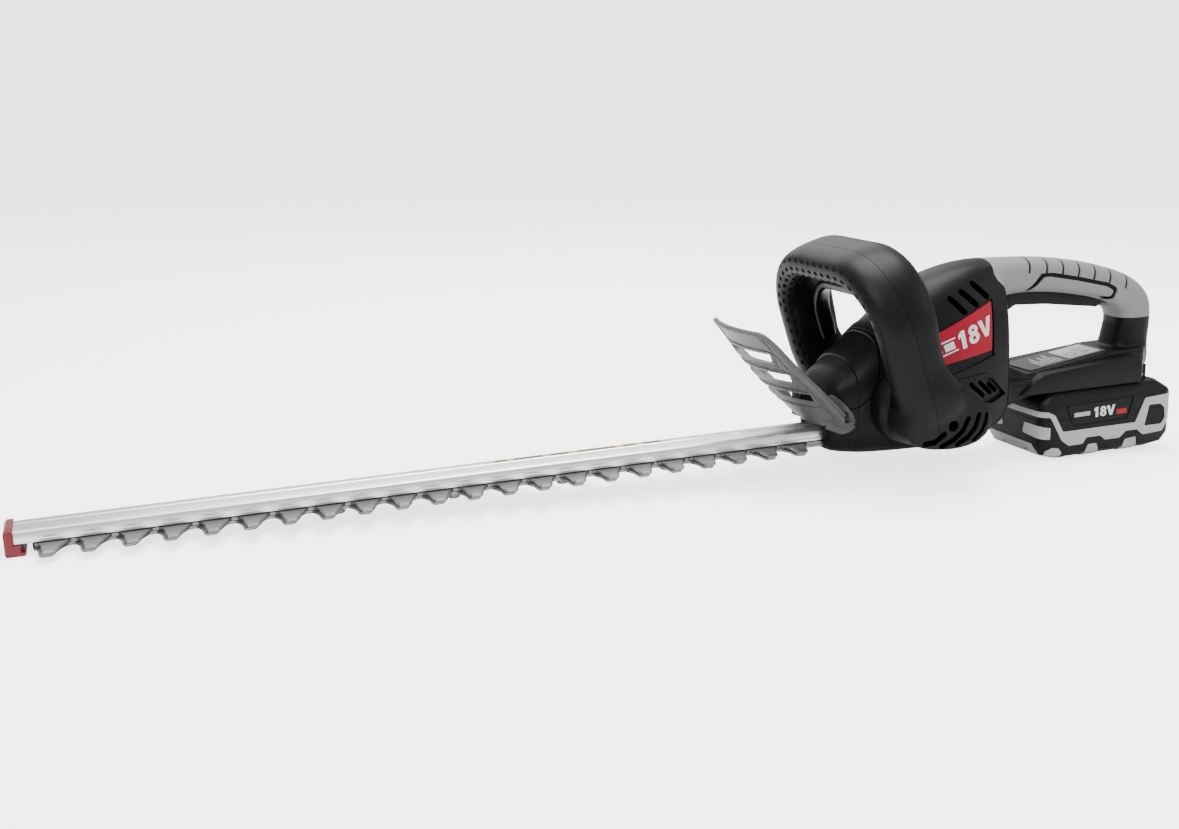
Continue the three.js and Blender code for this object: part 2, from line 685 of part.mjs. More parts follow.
function ratingPlate() {
  const outline = [[180, 37.4], [252, 46.85], [252, 47.45], [180, 38]];
  return sideCut(outline, -17, 17);
}

// ---------------------------------------------------------------- battery pack
function plate(halfX, halfY, radius, z) {
  const ringPoints = [];
  for (const [sx, sy, start] of [[1, 1, 0], [-1, 1, 1], [-1, -1, 2], [1, -1, 3]]) {
    for (let i = 0; i <= 3; i += 1) {
      const angle = (Math.PI / 2) * (start + i / 3);
      ringPoints.push(point(
        BATTERY_X + sx * (halfX - radius) + radius * Math.cos(angle),
        sy * (halfY - radius) + radius * Math.sin(angle),
        z,
      ));
    }
  }
  return ringPoints;
}

function squarePlate(halfX, halfY, z) {
  return [[1, 1], [-1, 1], [-1, -1], [1, -1]].map(([sx, sy]) => point(BATTERY_X + sx * halfX, sy * halfY, z));
}

function batteryLower() {
  const long = BATTERY_HALF_LENGTH;
  const wide = BATTERY_HALF_WIDTH;
  const tub = loft([
    squarePlate(long - 15, wide - 7, BATTERY_BOTTOM),
    squarePlate(long - 4.4, wide - 2, BATTERY_BOTTOM + 4),
    squarePlate(long + 1, wide + 1, BATTERY_BOTTOM + 12),
    squarePlate(long + 1, wide + 1, BATTERY_SPLIT + 5),
  ]);
  const wall = loft([
    plate(long, wide, 9, BATTERY_BOTTOM - 1),
    plate(long, wide, 9, BATTERY_SPLIT - GAP),
  ]);
  const outer = tub.intersect(wall);
  const inner = box(BATTERY_X - 50, BATTERY_X + 50, -35, 35, -31.8, 10);
  return outer.subtract(inner);
}

function batteryUpper() {
  const long = BATTERY_HALF_LENGTH;
  const wide = BATTERY_HALF_WIDTH;
  const outer = loft([
    plate(long, wide, 9, BATTERY_SPLIT),
    plate(long, wide, 9, BATTERY_SHOULDER),
    plate(long - 9, wide - 7, 7, BATTERY_TOP),
  ]);
  const rails = box(192, 300, -20, 20, BATTERY_TOP - 1, 23.4).add(box(192, 300, -24, 24, 23.1, 29.5));
  const inner = box(BATTERY_X - 50, BATTERY_X + 50, -35, 35, -10, 8)
    .add(box(BATTERY_X - 46, BATTERY_X + 46, -27, 27, 0, 14));
  const latchPocket = box(294, 330, -12.5, 12.5, 2.6, 12.4);
  let upper = outer.add(rails).subtract(inner).subtract(latchPocket);
  for (const y of [-11, 0, 11]) {
    upper = upper.subtract(box(180, 207, y - 2, y + 2, 24.2, 33));
  }
  return upper;
}

function cellRow(z) {
  let row = box(BATTERY_X - 42, BATTERY_X + 42, 32.4, 33.4, z - 4, z + 4);
  row = row.add(row.mirror([0, 1, 0]));
  for (let i = -2; i <= 2; i += 1) {
    row = row.add(crossPin(BATTERY_X + 18.9 * i, z, 9, -32.5, 32.5, 8));
  }
  return row;
}

function terminalBlock() {
  let block = box(184.3, 190.5, -18, 18, 23.2, 30.6);
  for (const y of [-11, 0, 11]) {
    block = block.add(box(190, 203, y - 0.9, y + 0.9, 25, 29.4));
  }
  return block;
}

// ---------------------------------------------------------------- assembly
const tool = new THREE.Group();

function addPart(name, solid, finish) {
  const mesh = new THREE.Mesh(toGeometry(solid), new THREE.MeshStandardMaterial(FINISHES[finish]));
  mesh.name = name;
  tool.add(mesh);
}

addPart('guide_bar', guideBar(), 'aluminium');
addPart('upper_blade', blade(UPPER_BLADE_TOP, 0), 'groundSteel');
addPart('lower_blade', blade(LOWER_BLADE_TOP, LOWER_BLADE_SHIFT), 'groundSteel');
addPart('tip_guard', tipGuard(), 'redPlastic');
boltPlaces().forEach((x, i) => addPart(`blade_bolt_${i + 1}`, bladeBolt(x), 'hardSteel'));

addPart('gear_case', gearCase(), 'castAluminium');
addPart('gear_case_plate', gearCasePlate(), 'castAluminium');
addPart('crank_gear', crankGear(), 'hardSteel');
addPart('crank_bearing', ring(CRANK_X, 5.7, SHAFT_RADIUS + 0.1, -4, GEAR_TOP), 'hardSteel');
addPart('crank_shaft', post(CRANK_X, 0, SHAFT_RADIUS, -8, 14), 'hardSteel');
addPart('motor_can', motorCan(), 'hardSteel');
addPart('motor_end_bell', motorEndBell(), 'blackPlastic');
addPart('motor_magnet_left', motorMagnet(-1), 'ferrite');
addPart('motor_magnet_right', motorMagnet(1), 'ferrite');
addPart('motor_front_bearing', ring(MOTOR_X, 4.1, 2.5, 24, 26), 'hardSteel');
addPart('motor_rear_bearing', ring(MOTOR_X, 4.1, 2.5, 84.5, 88), 'hardSteel');
addPart('motor_shaft', post(MOTOR_X, 0, 2.3, 1, 91, 12), 'hardSteel');
addPart('motor_armature', motorArmature(), 'copperWound');
addPart('motor_pinion', motorPinion(), 'hardSteel');
addPart('motor_fan', motorFan(), 'blackPlastic');

const shell = clamshell();
const behindNose = box(NOSE_SPLIT, 400, -200, 200, -200, 300);
addPart('housing_left', leftOf(shell).intersect(behindNose), 'blackPlastic');
addPart('housing_right', rightOf(shell).intersect(behindNose), 'blackPlastic');
addPart('nose_cover', noseCover(), 'blackPlastic');
HOUSING_SCREWS.forEach((screw, i) => addPart(`housing_screw_${i + 1}`, housingScrew(screw), 'hardSteel'));

const loopVoid = frontLoop(2.6, 8).add(handleDrums(2.6));
const loopShell = frontLoop(0).add(handleDrums(0)).subtract(loopVoid).subtract(pod(-GAP));
addPart('front_handle_grip', loopShell.intersect(loopHalfSpace(-1)), 'blackRubber');
addPart('front_handle_back', loopShell.intersect(loopHalfSpace(1)), 'blackPlastic');
addPart('front_switch_bar', frontSwitchBar(), 'blackPlastic');
addPart('front_switch', box(96, 110, -34, -24, 26, 42), 'blackPlastic');

addPart('hand_shield', handShield(), 'smokedPlastic');
addPart('shield_screw_left', shieldScrew(-1), 'hardSteel');
addPart('shield_screw_right', shieldScrew(1), 'hardSteel');

const skin = gripSkin();
const panelCut = sideCut(widened(PANEL_OUTLINE, 1.05), -60, 60);
const panels = rearHandle(0).subtract(rearHandle(GRIP_SKIN - GAP)).intersect(sideCut(PANEL_OUTLINE, -60, 60));
addPart('grip_left', leftOf(skin.subtract(panelCut)), 'greyRubber');
addPart('grip_right', rightOf(skin.subtract(panelCut)), 'greyRubber');
addPart('grip_panel_left', panels.intersect(box(100, 300, -60, -10.5, 0, 200)), 'greyRubber');
addPart('grip_panel_right', panels.intersect(box(100, 300, 10.5, 60, 0, 200)), 'greyRubber');
addPart('trigger', trigger(), 'blackPlastic');
addPart('trigger_pin', crossPin(TRIGGER_PIVOT.x, TRIGGER_PIVOT.z, 1.8, -9.6, 9.6, 10), 'hardSteel');
addPart('trigger_switch', box(188, 214, -7, 7, 101.5, 112), 'blackPlastic');

addPart('badge_left', leftOf(badge()), 'redPlastic');
addPart('badge_right', rightOf(badge()), 'redPlastic');
addPart('rating_plate', ratingPlate(), 'labelFilm');
addPart('control_board', box(104, 146, -22, 22, 60, 61.6), 'circuitBoard');
addPart('terminal_block', terminalBlock(), 'blackPlastic');

addPart('battery_lower_case', batteryLower(), 'blackPlastic');
addPart('battery_upper_case', batteryUpper(), 'blackPlastic');
addPart('cell_row_lower', cellRow(-22.4), 'cellWrap');
addPart('cell_row_upper', cellRow(-3.2), 'cellWrap');
addPart('battery_board', box(198, 284, -22, 22, 9.5, 11.1), 'circuitBoard');
addPart('battery_latch', box(297.5, 304.5, -12, 12, 3, 12), 'greyRubber');

// Turn the tool nose-down as it rests, then put the origin under the middle of its bounding box.
tool.rotation.y = -REST_PITCH;
const group = new THREE.Group();
group.add(tool);
group.updateMatrixWorld(true);
const bounds = new THREE.Box3().setFromObject(group, true);
tool.position.set(-(bounds.min.x + bounds.max.x) / 2, -(bounds.min.y + bounds.max.y) / 2, -bounds.min.z);
group.updateMatrixWorld(true);

export default group;
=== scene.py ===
import json
import math

import bmesh
import bpy
from mathutils import Matrix, Vector

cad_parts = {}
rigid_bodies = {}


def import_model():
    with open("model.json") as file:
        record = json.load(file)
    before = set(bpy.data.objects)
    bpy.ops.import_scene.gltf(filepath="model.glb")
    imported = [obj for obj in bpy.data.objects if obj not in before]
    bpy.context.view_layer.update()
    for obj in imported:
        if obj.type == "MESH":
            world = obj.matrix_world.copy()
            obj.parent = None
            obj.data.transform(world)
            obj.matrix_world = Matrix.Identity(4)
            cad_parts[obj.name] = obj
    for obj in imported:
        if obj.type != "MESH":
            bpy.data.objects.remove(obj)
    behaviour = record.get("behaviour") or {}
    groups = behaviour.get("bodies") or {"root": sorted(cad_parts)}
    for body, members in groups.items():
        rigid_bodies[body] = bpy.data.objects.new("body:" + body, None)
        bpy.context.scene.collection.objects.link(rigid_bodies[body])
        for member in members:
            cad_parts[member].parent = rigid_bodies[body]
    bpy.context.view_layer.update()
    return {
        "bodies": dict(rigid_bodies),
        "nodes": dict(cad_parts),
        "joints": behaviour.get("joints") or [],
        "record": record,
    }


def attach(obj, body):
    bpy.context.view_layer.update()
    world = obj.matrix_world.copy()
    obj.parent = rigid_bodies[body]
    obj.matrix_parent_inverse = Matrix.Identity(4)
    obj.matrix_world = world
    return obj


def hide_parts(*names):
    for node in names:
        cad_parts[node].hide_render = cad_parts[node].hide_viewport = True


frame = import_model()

# ------------------------------------------------------------------ the tool's own frame
# Pieces are drawn in millimetres with +X from blade tip to battery, +Y to the user's right, +Z up,
# x = 0 where the bar enters the nose and z = 0 under the bar. TOOL sets them where the CAD stands.
JOINTS = {joint["name"]: joint for joint in frame["joints"]}
CRANK_X, CRANK_Z = 50, 4


def tool_frame():
    along = Vector(JOINTS["blade_stroke"]["axis"]).normalized()
    up = Vector(JOINTS["crank_spin"]["axis"]).normalized()
    across = up.cross(along)
    origin = Vector(JOINTS["crank_spin"]["pos_m"]) - along * CRANK_X / 1000 - up * CRANK_Z / 1000
    turn = Matrix((along, across, up)).transposed().to_4x4()
    return Matrix.Translation(origin) @ turn @ Matrix.Scale(0.001, 4)


TOOL = tool_frame()

# ------------------------------------------------------------------ camera
LENS = 1400 / 1179 * 36


def set_camera():
    data = bpy.data.cameras.new("camera")
    data.lens = LENS
    data.sensor_width = 36
    data.clip_start = 0.01
    camera = bpy.data.objects.new("camera", data)
    camera.location = (-0.3795, -0.9251, 0.2849)
    camera.rotation_euler = Vector((0.3286, 0.9175, -0.2242)).to_track_quat("-Z", "Y").to_euler()
    bpy.context.scene.collection.objects.link(camera)
    bpy.context.scene.camera = camera


set_camera()


# ------------------------------------------------------------------ shader node groups
def new_group(name, inputs, outputs):
    group = bpy.data.node_groups.new(name, "ShaderNodeTree")
    for label, kind, value in inputs:
        socket = group.interface.new_socket(label, in_out="INPUT", socket_type=kind)
        socket.default_value = value
    for label, kind in outputs:
        group.interface.new_socket(label, in_out="OUTPUT", socket_type=kind)
    start = group.nodes.new("NodeGroupInput")
    end = group.nodes.new("NodeGroupOutput")
    return group, start, end


def noise_in(tree, scale, detail, roughness, vector=None):
    node = tree.nodes.new("ShaderNodeTexNoise")
    node.inputs["Detail"].default_value = detail
    node.inputs["Roughness"].default_value = roughness
    if isinstance(scale, (int, float)):
        node.inputs["Scale"].default_value = scale
    else:
        tree.links.new(scale, node.inputs["Scale"])
    if vector is not None:
        tree.links.new(vector, node.inputs["Vector"])
    return node.outputs["Fac"]


def scalar(tree, operation, a, b=0.0, clamp=False):
    node = tree.nodes.new("ShaderNodeMath")
    node.operation = operation
    node.use_clamp = clamp
    for socket, value in zip(node.inputs, (a, b)):
        if isinstance(value, (int, float)):
            socket.default_value = value
        else:
            tree.links.new(value, socket)
    return node.outputs[0]


def spread(tree, value, low, high, to_low=0.0, to_high=1.0):
    node = tree.nodes.new("ShaderNodeMapRange")
    tree.links.new(value, node.inputs["Value"])
    for label, number in (("From Min", low), ("From Max", high), ("To Min", to_low), ("To Max", to_high)):
        node.inputs[label].default_value = number
    return node.outputs["Result"]


def make_mould_grain():
    """The fine leathery pits that a spark-eroded mould leaves on plastic."""
    group, start, end = new_group(
        "mould grain",
        [("Scale", "NodeSocketFloat", 1500.0), ("Softness", "NodeSocketFloat", 0.4)],
        [("Height", "NodeSocketFloat")])
    place = group.nodes.new("ShaderNodeTexCoord").outputs["Object"]
    fine = noise_in(group, start.outputs["Scale"], 2.0, 0.6, place)
    pits = group.nodes.new("ShaderNodeTexVoronoi")
    group.links.new(place, pits.inputs["Vector"])
    group.links.new(start.outputs["Scale"], pits.inputs["Scale"])
    mixed = scalar(group, "MULTIPLY", pits.outputs["Distance"], start.outputs["Softness"])
    group.links.new(scalar(group, "ADD", fine, mixed), end.inputs["Height"])
    return group


def make_wear():
    """Cloudy handling marks: a low, slow mottling with sparser rubbed spots."""
    group, start, end = new_group(
        "handling wear",
        [("Scale", "NodeSocketFloat", 30.0), ("Amount", "NodeSocketFloat", 0.5)],
        [("Mottle", "NodeSocketFloat"), ("Rubbed", "NodeSocketFloat")])
    place = group.nodes.new("ShaderNodeTexCoord").outputs["Object"]
    cloud = noise_in(group, start.outputs["Scale"], 6.0, 0.62, place)
    finer = scalar(group, "MULTIPLY", start.outputs["Scale"], 9.0)
    spots = noise_in(group, finer, 4.0, 0.7, place)
    both = scalar(group, "MULTIPLY", cloud, spots)
    group.links.new(scalar(group, "MULTIPLY", spread(group, cloud, 0.3, 0.7), start.outputs["Amount"]),
                    end.inputs["Mottle"])
    group.links.new(scalar(group, "MULTIPLY", spread(group, both, 0.28, 0.42), start.outputs["Amount"]),
                    end.inputs["Rubbed"])
    return group


def make_streaks():
    """Long scratches that run with the tool, as a roll or a grinding wheel leaves them."""
    group, start, end = new_group(
        "lengthwise streaks",
        [("Fineness", "NodeSocketFloat", 900.0), ("Length", "NodeSocketFloat", 0.02)],
        [("Streak", "NodeSocketFloat")])
    place = group.nodes.new("ShaderNodeTexCoord").outputs["Object"]
    parts = group.nodes.new("ShaderNodeSeparateXYZ")
    group.links.new(place, parts.inputs[0])
    drawn = group.nodes.new("ShaderNodeCombineXYZ")
    group.links.new(scalar(group, "MULTIPLY", parts.outputs["X"], start.outputs["Length"]), drawn.inputs["X"])
    group.links.new(parts.outputs["Y"], drawn.inputs["Y"])
    group.links.new(parts.outputs["Z"], drawn.inputs["Z"])
    streak = noise_in(group, start.outputs["Fineness"], 5.0, 0.65, drawn.outputs[0])
    group.links.new(streak, end.inputs["Streak"])
    return group


MOULD_GRAIN = make_mould_grain()
HANDLING_WEAR = make_wear()
STREAKS = make_streaks()


# ------------------------------------------------------------------ materials
def start_material(name):
    material = bpy.data.materials.new(name)
    material.use_nodes = True
    tree = material.node_tree
    return material, tree, tree.nodes["Principled BSDF"]


def use_group(tree, group, **values):
    node = tree.nodes.new("ShaderNodeGroup")
    node.node_tree = group
    for label, value in values.items():
        node.inputs[label].default_value = value
    return node


def blend_colours(tree, factor, first, second):
    node = tree.nodes.new("ShaderNodeMix")
    node.data_type = "RGBA"
    tree.links.new(factor, node.inputs["Factor"])
    node.inputs["A"].default_value = (*first, 1)
    node.inputs["B"].default_value = (*second, 1)
    return node.outputs["Result"]


def bump(tree, shader, height, strength, distance):
    node = tree.nodes.new("ShaderNodeBump")
    node.inputs["Strength"].default_value = strength
    node.inputs["Distance"].default_value = distance
    tree.links.new(height, node.inputs["Height"])
    tree.links.new(node.outputs["Normal"], shader.inputs["Normal"])


def moulded(name, colour, worn, roughness, grain=1500.0, depth=0.00006, wear=0.4, specular=0.5, coat=0.0):
    """Injection-moulded plastic or rubber: grain, faint mottling and rubbed spots."""
    material, tree, shader = start_material(name)
    marks = use_group(tree, HANDLING_WEAR, Scale=28.0, Amount=wear)
    colours = blend_colours(tree, marks.outputs["Mottle"], colour, worn)
    tree.links.new(colours, shader.inputs["Base Color"])
    rough = spread(tree, marks.outputs["Rubbed"], 0.0, 1.0, roughness, roughness * 0.78)
    tree.links.new(rough, shader.inputs["Roughness"])
    shader.inputs["Specular IOR Level"].default_value = specular
    shader.inputs["Coat Weight"].default_value = coat
    shader.inputs["Coat Roughness"].default_value = 0.3
    texture = use_group(tree, MOULD_GRAIN, Scale=grain, Softness=0.4)
    bump(tree, shader, texture.outputs["Height"], 0.35, depth)
    return material


def drawn_metal(name, colour, darker, roughness, fineness=900.0, length=0.02, depth=0.00003, metallic=1.0):
    """Bare metal with streaks along the tool and a little tarnish."""
    material, tree, shader = start_material(name)
    streaks = use_group(tree, STREAKS, Fineness=fineness, Length=length)
    marks = use_group(tree, HANDLING_WEAR, Scale=18.0, Amount=0.5)
    line = spread(tree, streaks.outputs["Streak"], 0.3, 0.7)
    tone = scalar(tree, "MULTIPLY", line, 0.45)
    tone = scalar(tree, "ADD", tone, scalar(tree, "MULTIPLY", marks.outputs["Mottle"], 0.6), clamp=True)
    tree.links.new(blend_colours(tree, tone, colour, darker), shader.inputs["Base Color"])
    tree.links.new(spread(tree, tone, 0.0, 1.0, roughness * 0.8, roughness * 1.3), shader.inputs["Roughness"])
    shader.inputs["Metallic"].default_value = metallic
    bump(tree, shader, streaks.outputs["Streak"], 0.3, depth)
    return material


def smoked_shield():
    material, tree, shader = start_material("smoked shield plastic")
    marks = use_group(tree, HANDLING_WEAR, Scale=35.0, Amount=0.5)
    tree.links.new(blend_colours(tree, marks.outputs["Mottle"], (0.15, 0.145, 0.14), (0.19, 0.185, 0.18)),
                   shader.inputs["Base Color"])
    tree.links.new(spread(tree, marks.outputs["Rubbed"], 0.0, 1.0, 0.34, 0.26), shader.inputs["Roughness"])
    shader.inputs["Transmission Weight"].default_value = 0.55
    shader.inputs["Specular IOR Level"].default_value = 0.35
    shader.inputs["IOR"].default_value = 1.3
    texture = use_group(tree, MOULD_GRAIN, Scale=900.0, Softness=0.3)
    bump(tree, shader, texture.outputs["Height"], 0.25, 0.00004)
    return material


def printed(name, ground, ink, roughness, scale=160.0):
    """A printed film: plain ground with a faint screen of ink."""
    material, tree, shader = start_material(name)
    marks = use_group(tree, HANDLING_WEAR, Scale=scale, Amount=0.35)
    tree.links.new(blend_colours(tree, marks.outputs["Mottle"], ground, ink), shader.inputs["Base Color"])
    tree.links.new(spread(tree, marks.outputs["Rubbed"], 0.0, 1.0, roughness, roughness * 1.35),
                   shader.inputs["Roughness"])
    return material


FINISH = {
    "casing": moulded("black moulded casing", (0.0034, 0.0034, 0.0037), (0.0052, 0.0052, 0.0055), 0.40,
                      specular=0.13),
    "gloss": moulded("polished black casing", (0.003, 0.003, 0.0032), (0.0045, 0.0045, 0.0048), 0.26,
                     depth=0.00002,
                     specular=0.3),
    "hand_grip": moulded("black soft grip", (0.0032, 0.0032, 0.0034), (0.005, 0.005, 0.0052), 0.42, 1900.0,
                         0.00004,
                         specular=0.15),
    "grey_grip": moulded("grey overmould", (0.205, 0.197, 0.190), (0.182, 0.175, 0.169), 0.58, 1700.0,
                         0.00008,
                         specular=0.3),
    "bumper": moulded("light grey overmould", (0.35, 0.342, 0.34), (0.315, 0.307, 0.305), 0.55, 1500.0,
                      0.00007,
                      specular=0.3),
    "battery": moulded("battery shell", (0.0034, 0.0034, 0.0036), (0.005, 0.005, 0.0052), 0.44, 1300.0,
                       0.00007,
                       specular=0.13),
    "red": moulded("red plastic", (0.27, 0.0045, 0.018), (0.24, 0.004, 0.016), 0.38, 1600.0, 0.00002,
                   specular=0.18),
    "dark_red": moulded("dark red guard", (0.15, 0.004, 0.011), (0.20, 0.006, 0.016), 0.35, 1400.0, 0.00003),
    "ink": moulded("pale print", (0.60, 0.60, 0.60), (0.53, 0.53, 0.53), 0.45, 1500.0, 0.00001),
    "shield": smoked_shield(),
    "aluminium": drawn_metal("satin aluminium bar", (0.86, 0.87, 0.90), (0.76, 0.77, 0.80), 0.34),
    "cast": drawn_metal("die cast case", (0.42, 0.43, 0.44), (0.34, 0.35, 0.36), 0.5, 1200.0, 1.0, 0.00012),
    "blade": drawn_metal("ground blade steel", (0.27, 0.26, 0.25), (0.18, 0.172, 0.165), 0.36, 700.0, 0.06),
    "steel": drawn_metal("machined steel", (0.42, 0.42, 0.43), (0.30, 0.30, 0.31), 0.30, 1500.0, 0.3),
    "black_steel": drawn_metal("blackened screw steel", (0.05, 0.05, 0.052), (0.09, 0.09, 0.09), 0.36,
                               1500.0, 0.5),
    "copper": drawn_metal("varnished copper", (0.55, 0.25, 0.11), (0.35, 0.14, 0.06), 0.38, 2500.0, 1.0),
    "ferrite": moulded("sintered ferrite", (0.03, 0.03, 0.032), (0.045, 0.045, 0.047), 0.8, 700.0, 0.00012),
    "board": printed("circuit board", (0.012, 0.10, 0.045), (0.02, 0.15, 0.07), 0.35),
    "cell": printed("cell sleeve", (0.05, 0.20, 0.50), (0.04, 0.16, 0.42), 0.32, 60.0),
    "label": printed("rating label", (0.46, 0.46, 0.47), (0.38, 0.38, 0.39), 0.42),
    "label_dark": printed("dark label ink", (0.02, 0.02, 0.021), (0.035, 0.035, 0.036), 0.4),
    "yellow": printed("yellow bar sticker", (0.62, 0.47, 0.14), (0.52, 0.38, 0.10), 0.4),
}

CAD_FINISH = {
    "cast": ("gear_case", "gear_case_plate"),
    "steel": ("crank_gear", "crank_bearing", "crank_shaft", "motor_can", "motor_front_bearing",
              "motor_rear_bearing", "motor_shaft", "motor_pinion", "trigger_pin"),
    "casing": ("motor_end_bell", "motor_fan", "front_switch", "trigger_switch", "terminal_block"),
    "copper": ("motor_armature",),
    "ferrite": ("motor_magnet_left", "motor_magnet_right"),
    "board": ("control_board", "battery_board"),
    "cell": ("cell_row_lower", "cell_row_upper"),
}


def dress_cad():
    for finish, nodes in CAD_FINISH.items():
        for node in nodes:
            for place in frame["nodes"][node].material_slots:
                place.material = FINISH[finish]


dress_cad()


# ------------------------------------------------------------------ drawing helpers
def point(x, y, z):
    return Vector((x, y, z))


def through(rows, steps):
    """Rows of numbers joined by a smooth curve, with `steps` new rows between each pair."""
    made = []
    for i in range(len(rows) - 1):
        before = rows[max(i - 1, 0)]
        after = rows[min(i + 2, len(rows) - 1)]
        for s in range(steps):
            t = s / steps
            made.append([curve(before[k], rows[i][k], rows[i + 1][k], after[k],
                               t) for k in range(len(rows[i]))])
    made.append(list(rows[-1]))
    return made


def curve(a, b, c, d, t):
    return b + 0.5 * t * (c - a + t * (2 * a - 5 * b + 4 * c - d + t * (3 * (b - c) + d - a)))


def oval(at, side, up, wide, above, below, square_above=2.4, square_below=None, count=48):
    """A squared-off oval round `at`, as the places of `count` points."""
    square_below = square_below or square_above
    made = []
    for i in range(count):
        angle = 2 * math.pi * i / count
        across, rise = math.cos(angle), math.sin(angle)
        square = square_above if rise >= 0 else square_below
        reach = above if rise >= 0 else below
        u = wide * math.copysign(abs(across) ** (2 / square), across)
        v = reach * math.copysign(abs(rise) ** (2 / square), rise)
        made.append(at + side * u + up * v)
    return made


def set_places(verts, places):
    for vert, place in zip(verts, places):
        vert.co = place


def skin(rings, mesh=None):
    """Pulls a ring of edges through each ring's places and closes the two ends."""
    bm = mesh or bmesh.new()
    verts = bmesh.ops.create_circle(bm, segments=len(rings[0]), radius=1)["verts"]
    set_places(verts, rings[0])
    ends = [list(verts)]
    for ring in rings[1:]:
        loop = [bm.edges.get((verts[i], verts[(i + 1) % len(verts)])) for i in range(len(verts))]
        pulled = bmesh.ops.extrude_edge_only(bm, edges=loop)["geom"]
        fresh = {part for part in pulled if isinstance(part, bmesh.types.BMVert)}
        verts = [next(e.other_vert(v) for e in v.link_edges if e.other_vert(v) in fresh) for v in verts]
        set_places(verts, ring)
    ends.append(list(verts))
    for end in ends:
        loop = [bm.edges.get((end[i], end[(i + 1) % len(end)])) for i in range(len(end))]
        bmesh.ops.edgeloop_fill(bm, edges=loop)
    bmesh.ops.recalc_face_normals(bm, faces=bm.faces)
    return bm


def polygon(bm, places):
    verts = bmesh.ops.create_circle(bm, cap_ends=True, segments=len(places), radius=1)["verts"]
    set_places(verts, places)
    return verts[0].link_faces[0]


def slab(outline, start, reach, corner=0.0, rim=0.0, segments=3, mesh=None):
    """A flat outline of points pulled along `reach`; corners and rims are rounded where asked."""
    bm = mesh or bmesh.new()
    old = set(bm.verts)
    base = polygon(bm, [start + p for p in outline])
    pulled = bmesh.ops.extrude_face_region(bm, geom=[base])["geom"]
    bmesh.ops.translate(bm, vec=reach, verts=[v for v in pulled if isinstance(v, bmesh.types.BMVert)])
    way = reach.normalized()
    mine = [e for e in bm.edges if e.verts[0] not in old]
    if corner:
        posts = [e for e in mine if abs((e.verts[1].co - e.verts[0].co).normalized().dot(way)) > 0.999]
        bmesh.ops.bevel(bm, geom=posts, offset=corner, offset_type="OFFSET", affect="EDGES",
                        segments=segments + 1, profile=0.5, material=-1, clamp_overlap=True)
    if rim:
        for f in bm.faces:
            f.normal_update()
        rims = [e for e in bm.edges if e.verts[0] not in old and len(e.link_faces) == 2
                and sum(abs(f.normal.dot(way)) > 0.999 for f in e.link_faces) == 1]
        bmesh.ops.bevel(bm, geom=rims, offset=rim, offset_type="OFFSET", affect="EDGES",
                        segments=segments, profile=0.5, material=-1, clamp_overlap=True)
    bmesh.ops.recalc_face_normals(bm, faces=bm.faces)
    return bm


def side_slab(outline, y0, y1, **shape):
    return slab([point(x, 0, z) for x, z in outline], point(0, y0, 0), point(0, y1 - y0, 0), **shape)


def plan_slab(outline, z0, z1, **shape):
    return slab([point(x, y, 0) for x, y in outline], point(0, 0, z0), point(0, 0, z1 - z0), **shape)


def front_slab(outline, x0, x1, **shape):
    return slab([point(0, y, z) for y, z in outline], point(x0, 0, 0), point(x1 - x0, 0, 0), **shape)


def block(x0, x1, y0, y1, z0, z1, **shape):
    return side_slab([(x0, z0), (x1, z0), (x1, z1), (x0, z1)], y0, y1, **shape)


def turned(profile, centre, axis, steps=32, mesh=None):
    """Spins a profile of (radius, height) pairs round `axis` through `centre`."""
    bm = mesh or bmesh.new()
    side = axis.orthogonal().normalized()
    first = None
    chain = []
    for radius, height in profile:
        vert = bmesh.ops.create_vert(bm, co=centre + side * radius + axis * height)["vert"][0]
        if first is not None:
            chain.append(bm.edges.new((first, vert)))
        first = vert
    verts = {v for e in chain for v in e.verts}
    bmesh.ops.spin(bm, geom=list(verts) + chain, cent=centre, axis=axis, angle=2 * math.pi, steps=steps,
                   use_merge=True)
    bmesh.ops.remove_doubles(bm, verts=bm.verts, dist=1e-5)
    bmesh.ops.recalc_face_normals(bm, faces=bm.faces)
    return bm


def ribbon(path, width, ends=5):
    """A flat outline that follows a path of (u, v) pairs with round ends."""
    left, right = [], []
    half = width / 2
    for i, (u, v) in enumerate(path):
        a = path[max(i - 1, 0)]
        b = path[min(i + 1, len(path) - 1)]
        way = Vector((b[0] - a[0], b[1] - a[1])).normalized()
        left.append((u - way.y * half, v + way.x * half))
        right.append((u + way.y * half, v - way.x * half))
    outline = list(left)
    for (u, v), (a, b), sign in ((path[-1], path[-2], 1), (path[0], path[1], -1)):
        start = math.atan2(v - b, u - a)
        cap = [start + math.pi / 2 - math.pi * k / ends for k in range(1, ends)]
        outline += [(u + half * math.cos(t), v + half * math.sin(t)) for t in cap]
        if sign == 1:
            outline += right[::-1]
    return outline


def joined(*parts):
    """One mesh of several separate closed parts."""
    whole = bmesh.new()
    for part in parts:
        copy = bpy.data.meshes.new("part")
        part.to_mesh(copy)
        whole.from_mesh(copy)
        bpy.data.meshes.remove(copy)
        part.free()
    return whole


def mirrored(bm):
    """The same shape on the other side of the mid-plane."""
    other = bm.copy()
    bmesh.ops.scale(other, vec=(1, -1, 1), verts=other.verts)
    bmesh.ops.reverse_faces(other, faces=other.faces)
    return other


def both_sides(bm):
    return joined(bm, mirrored(bm))


